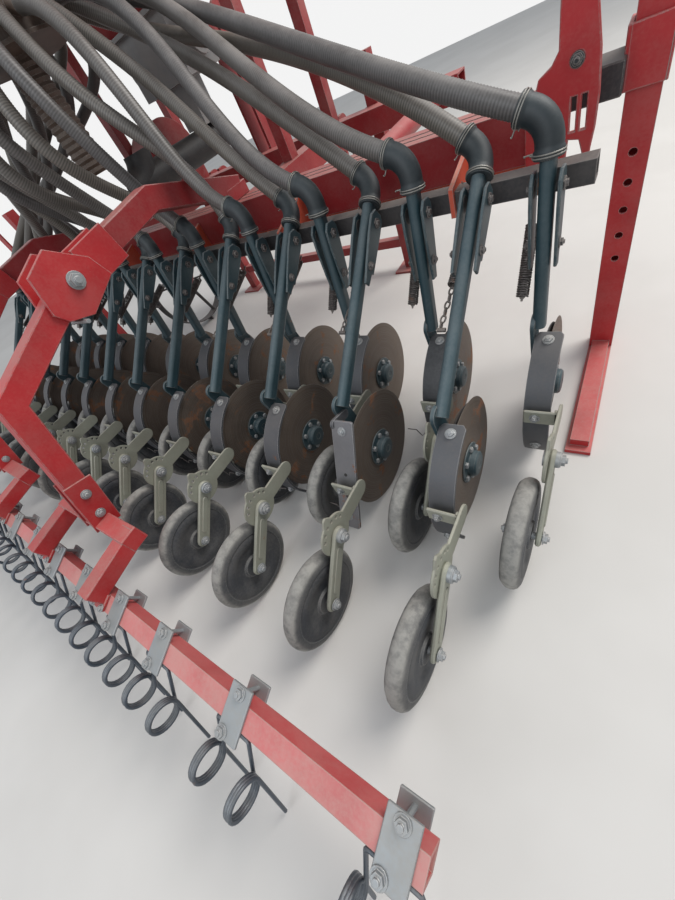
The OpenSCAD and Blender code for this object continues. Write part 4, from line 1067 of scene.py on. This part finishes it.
for row, first in ROWS:
    plates, channels, steel, spots = Form(), Form(), Form(), []
    for k in range(first, COULTERS, 2):
        x, y = unit_x(k), unit_y(k)
        here = shift(x, y)
        plates.put(quadrant_part, shift(x + QUADRANT_X, y)).put(tongue, here).put(upstand, here)
        channels.put(channel_part, shift(x + CHANNEL_X, y)).put(rib_part, shift(x + RIB_X, y))
        steel.put(boss_part, shift(x, y + boss[0], boss[1])).put(axle_part, shift(x, y + axle[0], axle[1]))
        steel.put(cotter, here)
        spots += [(here @ Vector(place), aim, size) for place, aim, size in NUTS]
    solids = ("frame", f"press_arms_{row}", "cream_zinc")
    piece(f"press_quadrants_{row}", plates, cream, *solids)
    piece(f"press_channels_{row}", channels, cream, *solids)
    piece(f"press_pins_{row}", steel, zinc, *solids)
    bolts(f"press_nuts_{row}", spots, zinc, *solids)

# %% [markdown]
# ## Rubber sleeves
# A short rubber sleeve joins each arm's spout to its hose. It is a tube swept along the
# elbow's curve, thicker at both mouths, where a bright wire clip with two curled ears
# squeezes it.

# %% Sleeves and their wire clips
sleeves, clips = Form(), Form()
CLIP_R, CLIP_WIRE = 25.6, 1.4
SLEEVE_RADII = [22.5, 24.6, 24.6, 23] + [23] * 9 + [23, 24.6, 24.6, 22.5]
for k in range(COULTERS):
    low, high = arm_top(k), elbow_point(k, 1)
    a, b = arm_dir(k), hose_dir(k)
    path = [low - a * s for s in (20, 19, 7, 5)] + [elbow_point(k, t) for t in np.linspace(0, 1, 9)]
    sleeves.put(tube(path + [high + b * s for s in (4, 6, 18, 19)], SLEEVE_RADII, 20))
    for middle, way in ((low - a * 13, a), (high + b * 12, b)):
        u = unit(np.cross(way, [0.3, 1, 0.2]))
        v = np.cross(way, u)
        for step in (-2.2, 2.2):
            ring = [middle + way * step + u * p + v * q for p, q in circle(CLIP_R, 20)]
            clips.put(tube(ring, CLIP_WIRE, 5, closed=True))
        for s in (-1, 1):
            root = middle + way * (2.2 * s) + CLIP_R * u
            ear = [root + u * p + v * (q * s) for p, q in ((0, 0), (8, 5), (13, 10), (9, 14))]
            clips.put(tube(ear, CLIP_WIRE, 5))
piece("sleeves", sleeves, sleeve_rubber, "frame", "elbows", "elbow_rubber", 50)
piece("sleeve_clips", clips, wire_steel, "frame", "elbows", "zinc", 60)

# %% [markdown]
# ## Bolts at the pivots
# The pivot of every arm shows a bolt head on both sides. All of them come from the bolt tree.

# %% Pivot bolts
BRACKET_HALF = 19.4
spots = [((unit_x(k) + s * BRACKET_HALF, *PIVOT), (s, 0, 0), 1.35) for k in range(COULTERS) for s in (-1, 1)]
bolts("pivot_bolts", spots, dark, "frame", "arm_brackets", "teal_paint")

# %% [markdown]
# ## Harrow tines
# One wire makes two tines: a leg, a coil of three turns, a loop held under the clamp,
# and the same again mirrored. A single tube along that path keeps the wire unbroken, where
# the model has rings side by side.

# %% Tines as one wire each
TINES = [x * s for s in (-1, 1) for x in (97.5, 292.5, 487.5, 682.5, 877.5, 1130.0, 1452.0)]
BAR_MID, BAR_HALF, BAR_TILT = np.array([-675.0, 238.0]), 21.0, 20
COIL_R, COIL_TURNS, COIL_STEPS, WIRE_R = 33.0, 3, 72, 4.0
LEG_LEAN, LEG_FOOT = 19, 11.5
COIL_OUT, COIL_IN = 57.2, 42.0  # how far the coil's two ends stand from the clamp's middle
along_bar, off_bar = around(BAR_TILT), around(BAR_TILT + 90)


def on_bar(along, out):
    return BAR_MID + along * along_bar + out * off_bar


coil_mid = BAR_MID + [-110, -49]
eye = on_bar(-BAR_HALF - 4.4, BAR_HALF - 4.3)
leave = angle_of(eye - coil_mid) - math.degrees(math.acos(COIL_R / np.linalg.norm(eye - coil_mid)))


def half_wire(x, s):
    """Leg, coil and run to the clamp, on one side of a tine's middle."""
    start = coil_mid + COIL_R * around(-LEG_LEAN)
    leg = (start[1] - LEG_FOOT) / math.cos(math.radians(LEG_LEAN)) * -around(90 - LEG_LEAN)
    path = [(x + s * COIL_OUT, *(start + leg * share)) for share in (1, 0.66, 0.33)]
    for share in np.arange(COIL_STEPS + 1) / COIL_STEPS:
        p = coil_mid + COIL_R * around(-LEG_LEAN + (leave + 360 * COIL_TURNS + LEG_LEAN) * share)
        path.append((x + s * (COIL_OUT + (COIL_IN - COIL_OUT) * share), *p))
    p = coil_mid + COIL_R * around(leave)
    to_clamp = ((0.5, COIL_IN), (0.93, COIL_IN), (0.99, 40), (1, 34))
    return path + [(x + s * across, *(p + (eye - p) * share)) for share, across in to_clamp]


wires = Form()
for x in TINES:
    wires.put(tube(half_wire(x, -1) + half_wire(x, 1)[::-1], WIRE_R, 7))
piece("tine_wires", wires, tine_steel, "harrow", "harrow_tines", "tine_steel", 60)

# %% [markdown]
# ## Harrow arms and their hinges
# The arms are square tubes with mitred knees, so their side view is a band of even width
# round a bent line. The hinge on the beam is a pair of seven-sided plates with one bolt and
# a loose pin under it.


# %% Mitred tubes
def mitred(path, width, start=0.0, end=0.0):
    """The side view of a tube of even width along a bent line, lengthened at both ends."""
    path = [np.asarray(p, float) for p in path]
    path[0] = path[0] - unit(path[1] - path[0]) * start
    path[-1] = path[-1] + unit(path[-1] - path[-2]) * end
    sides = ([], [])
    for i, p in enumerate(path):
        before = unit(p - path[i - 1]) if i else unit(path[1] - p)
        after = unit(path[i + 1] - p) if i + 1 < len(path) else before
        n = unit(np.array([-before[1] - after[1], before[0] + after[0]]))
        reach = width / 2 / max(0.3, n @ np.array([-before[1], before[0]]))
        sides[0].append(tuple(p + n * reach))
        sides[1].append(tuple(p - n * reach))
    return sides[0] + sides[1][::-1]


HINGE, KNEE, FOOT_HIGH = (-94.0, 802.0), (-413.0, 684.0), (-523.0, 310.0)
FOOT_LOW = on_bar(BAR_HALF, BAR_HALF + 28)
arms, feet, bases, spots = Form(), Form(), Form(), []
arm_band = cut(mitred([HINGE, KNEE, FOOT_HIGH], 58, 20, 0), 59, 2.2)
foot_band = cut(mitred([FOOT_HIGH, FOOT_LOW], 50, 18, 20), 50, 2.0)
splice = cut(mitred([(-478, 452), (-519, 316)], 74, 8, 8), 6, 1.0)
tilt = shift(0, *BAR_MID) @ Matrix.Rotation(math.radians(BAR_TILT), 4, "X")
bar_up = tuple(tilt @ Vector((0, 0, 1)) - tilt @ Vector((0, 0, 0)))
for s in (-1, 1):
    middle = s * HARROW_X
    ends = sorted((s * (HARROW_X - 215), s * (HARROW_X + 160)))
    feet.put(block((ends[0] - 26, -549, 284), (ends[1] + 26, -497, 336), 2.5))
    arms.put(arm_band, shift(middle)).put(splice, shift(middle + 33)).put(splice, shift(middle - 33))
    for side in (-1, 1):
        for place in ((-488, 420), (-508, 354)):
            spots.append(((middle + side * 36, *place), (side, 0, 0), 1.2))
    for x in ends:
        feet.put(foot_band, shift(x))
        bases.put(block((x - 30, -21, 21.3), (x + 30, 21, 29.3)), tilt)
        spots += [(tilt @ Vector((x + side, -14, 29.3)), bar_up, 0.9) for side in (-22, 22)]
solids = ("harrow", "harrow_arms", "harrow_red")
piece("harrow_arm_tubes", arms, arm_red, *solids)
piece("harrow_feet", feet, arm_red, *solids)
piece("harrow_foot_plates", bases, arm_red, *solids)
bolts("harrow_arm_bolts", spots, zinc, "harrow", "harrow_arms", "zinc")

# %% Hinge plates, posts and pins on the beam
GUSSET = [(-104, 884), (-27, 824), (-8, 768), (-116, 722), (-176, 742), (-196, 772), (-176, 856)]
GUSSET_X, PIN_HALF = 35, 44
posts, plates, spots, pins = Form(), Form(), [], Form()
post_band = cut(mitred([(560, 744.3), (238, 846), (-34, 812)], 62, 16, 6), 59.6, 2.2)
gusset = cut(GUSSET, 9.6, 1.2)
backing = cut(mitred([(30, 818), (-50, 808)], 92, 30, 0), 8.4, 1.2)
pin = lathe([(0.1, -PIN_HALF), (11.9, -PIN_HALF), (11.9, PIN_HALF), (0.1, PIN_HALF)], 16)
for s in (-1, 1):
    x = s * HARROW_X
    posts.put(post_band, shift(x)).put(block((x - 30, 500, 712.3), (x + 30, 600, 752), 2))
    for e in (-1, 1):
        plates.put(gusset, shift(x + GUSSET_X * e)).put(backing, shift(x + GUSSET_X * e))
        spots.append(((x + 40 * e, *HINGE), (e, 0, 0), 1.9))
    pins.put(pin, shift(x, *HINGE)).put(tube([(x - 44, -148, 722), (x - 40, -148, 724), (x + 56, -148, 724)], 5.5, 10))
piece("harrow_posts", posts, red, "frame", "harrow_mounts", "red_paint")
piece("hinge_plates", plates, arm_red, "frame", "harrow_mounts", "red_paint")
piece("hinge_pins", pins, zinc, "frame", "harrow_mounts", "zinc")
bolts("hinge_bolts", spots, zinc, "frame", "harrow_mounts", "zinc")

# %% [markdown]
# ## Clamps of the tines
# Every tine is held by a galvanised plate on top of the bar and another under it. One bolt
# in front and one behind pull the two together. Both are plain blocks, tilted as the bar is.

# %% Clamp plates with their bolts
PLATE_X, PLATE_Y, PLATE_THICK = 26, 47, 6
clamps, studs, spots = Form(), Form(), []
plate_parts = [
    block((-PLATE_X, -PLATE_Y, low), (PLATE_X, PLATE_Y, low + PLATE_THICK), 1.2)
    for low in (BAR_HALF, -BAR_HALF - PLATE_THICK)
]
for x in TINES:
    here = shift(x) @ tilt
    for part in plate_parts:
        clamps.put(part, here)
    for bx, by in ((0, 34), (-13, -37)):
        studs.put(tube([(bx, by, -34), (bx, by, 26)], 5), here)
        spots.append((here @ Vector((bx, by, BAR_HALF + PLATE_THICK)), bar_up, 1.15))
piece("clamp_plates", clamps, zinc, "harrow", "harrow_clamps", "zinc")
piece("clamp_studs", studs, zinc, "harrow", "harrow_clamps", "zinc", 40)
bolts("clamp_bolts", spots, zinc, "harrow", "harrow_clamps", "zinc")

# %% [markdown]
# ## Cast forks on the arms
# Below its pivot each arm is held between two cast cheeks that end in a stepped tab. Their
# outline is given along and square to the arm, so one list serves both rows.

# %% Fork cheeks
CHEEK = [(-138, -9), (-138, 9), (-112, 12), (-108, 21), (-60, 23), (-14, 25), (14, 24), (26, 14), (26, -12), (10, -24),
         (-30, -23), (-100, -15)]
CHEEK_X, BOLT_X, BOLT_DOWN = 22.8, 26.0, 96.0
spots = []
for row, first in ROWS:
    cheeks = Form()
    way = arm_dir(first)[1:]
    square = np.array([way[1], -way[0]])
    cheek = cut([tuple(PIVOT + way * a + square * b) for a, b in CHEEK], 6.4, 1.4)
    for k in range(first, COULTERS, 2):
        y, z = arm_pivot(k)[1:] - way * BOLT_DOWN
        for s in (-1, 1):
            cheeks.put(cheek, shift(unit_x(k) + s * CHEEK_X))
            spots.append(((unit_x(k) + s * BOLT_X, y, z), (s, 0, 0), 0.9))
    piece(f"arm_forks_{row}", cheeks, teal, "frame", None, "teal_paint")
bolts("fork_bolts", spots, dark, "frame", "arm_brackets", "teal_paint")

# %% [markdown]
# ## The beam's end plates
# A tall plate closes each end of the main beam. Its inner edge swings in an S down to the
# beam, and a narrow flat runs out to a point below. A dark tube reaches from it to the
# sleeve in which the side stand slides.

# %% End plates and the sleeves of the side stands
PLATE = [
    (1362, 596), (1362, 716), (1372, 721), (1381, 733), (1385, 747), (1406, 760), (1417, 777), (1416, 1008),
    (1470, 1008), (1472, 820), (1482, 762), (1486, 700), (1484, 650), (1479, 615), (1475, 548), (1467, 606),
    (1458, 636), (1440, 640), (1436, 598),
]
PLATE_BOLT = (1447, 757)
PLATE_MID_Y = 494
slots = [[(x, 652), (x + 9, 652), (x + 9, 706), (x, 706)] for x in (1441, 1458)]
flat = cut(PLATE, 11.6, 1.4, [circle(11, 16, PLATE_BOLT), *slots])
turn = Matrix.Rotation(math.radians(-90), 4, "Z")
TUBES = [((1462, 600, 655), (1513, 700, 712), 2.5), ((1396, 600, 655), (1464, 660, 712), 2.5)]
WALLS = [
    ((1507, 630, 652), (1515.5, 710, 752)), ((1578.5, 630, 652), (1583.5, 710, 752)),
    ((1513, 630.2, 652), (1580, 638.4, 752)), ((1513, 701.6, 652), (1580, 709.8, 752)),
]
end_plates, stand_tubes, walls, spots = Form(), Form(), Form(), []
for s in (-1, 1):
    mirror = Matrix.Diagonal((s, 1, 1, 1))
    end_plates.put(flat, mirror @ shift(0, PLATE_MID_Y) @ turn)
    for box in TUBES:
        stand_tubes.put(block(*box), mirror)
    for box in WALLS:
        walls.put(block(*box), mirror)
    spots.append(((s * PLATE_BOLT[0], PLATE_MID_Y - 6, PLATE_BOLT[1]), (0, -1, 0), 1.0))
piece("end_plates", end_plates, arm_red, "frame", "side_plates", "red_paint")
piece("stand_tubes", stand_tubes, dark, "frame", "side_plates", "dark_steel")
piece("stand_sleeves", walls, arm_red, "frame", "side_plates", "red_paint")
bolts("end_plate_bolts", spots, dark, "frame", "side_plates", "dark_steel")

# %% [markdown]
# ## Loose wires
# Thin rods stand out from the feet of the straps, bent twice on the way. They are single
# tubes, and small enough that a few points along the path do.

# %% Bent wires at the foot of the straps
BENDS = ((0, 0, 0), (-18, -4, 3), (-30, -6, -14), (-44, -7, 12), (-72, -6, 10))
wires = Form()
for k in range(2, 20):
    root = strap_spot(k, 196, 2, 6)[0]
    wires.put(tube([root + bend for bend in BENDS], 1.7, 5))
piece("bent_wires", wires, dark, "frame", "straps_rear", "dark_steel", 60)
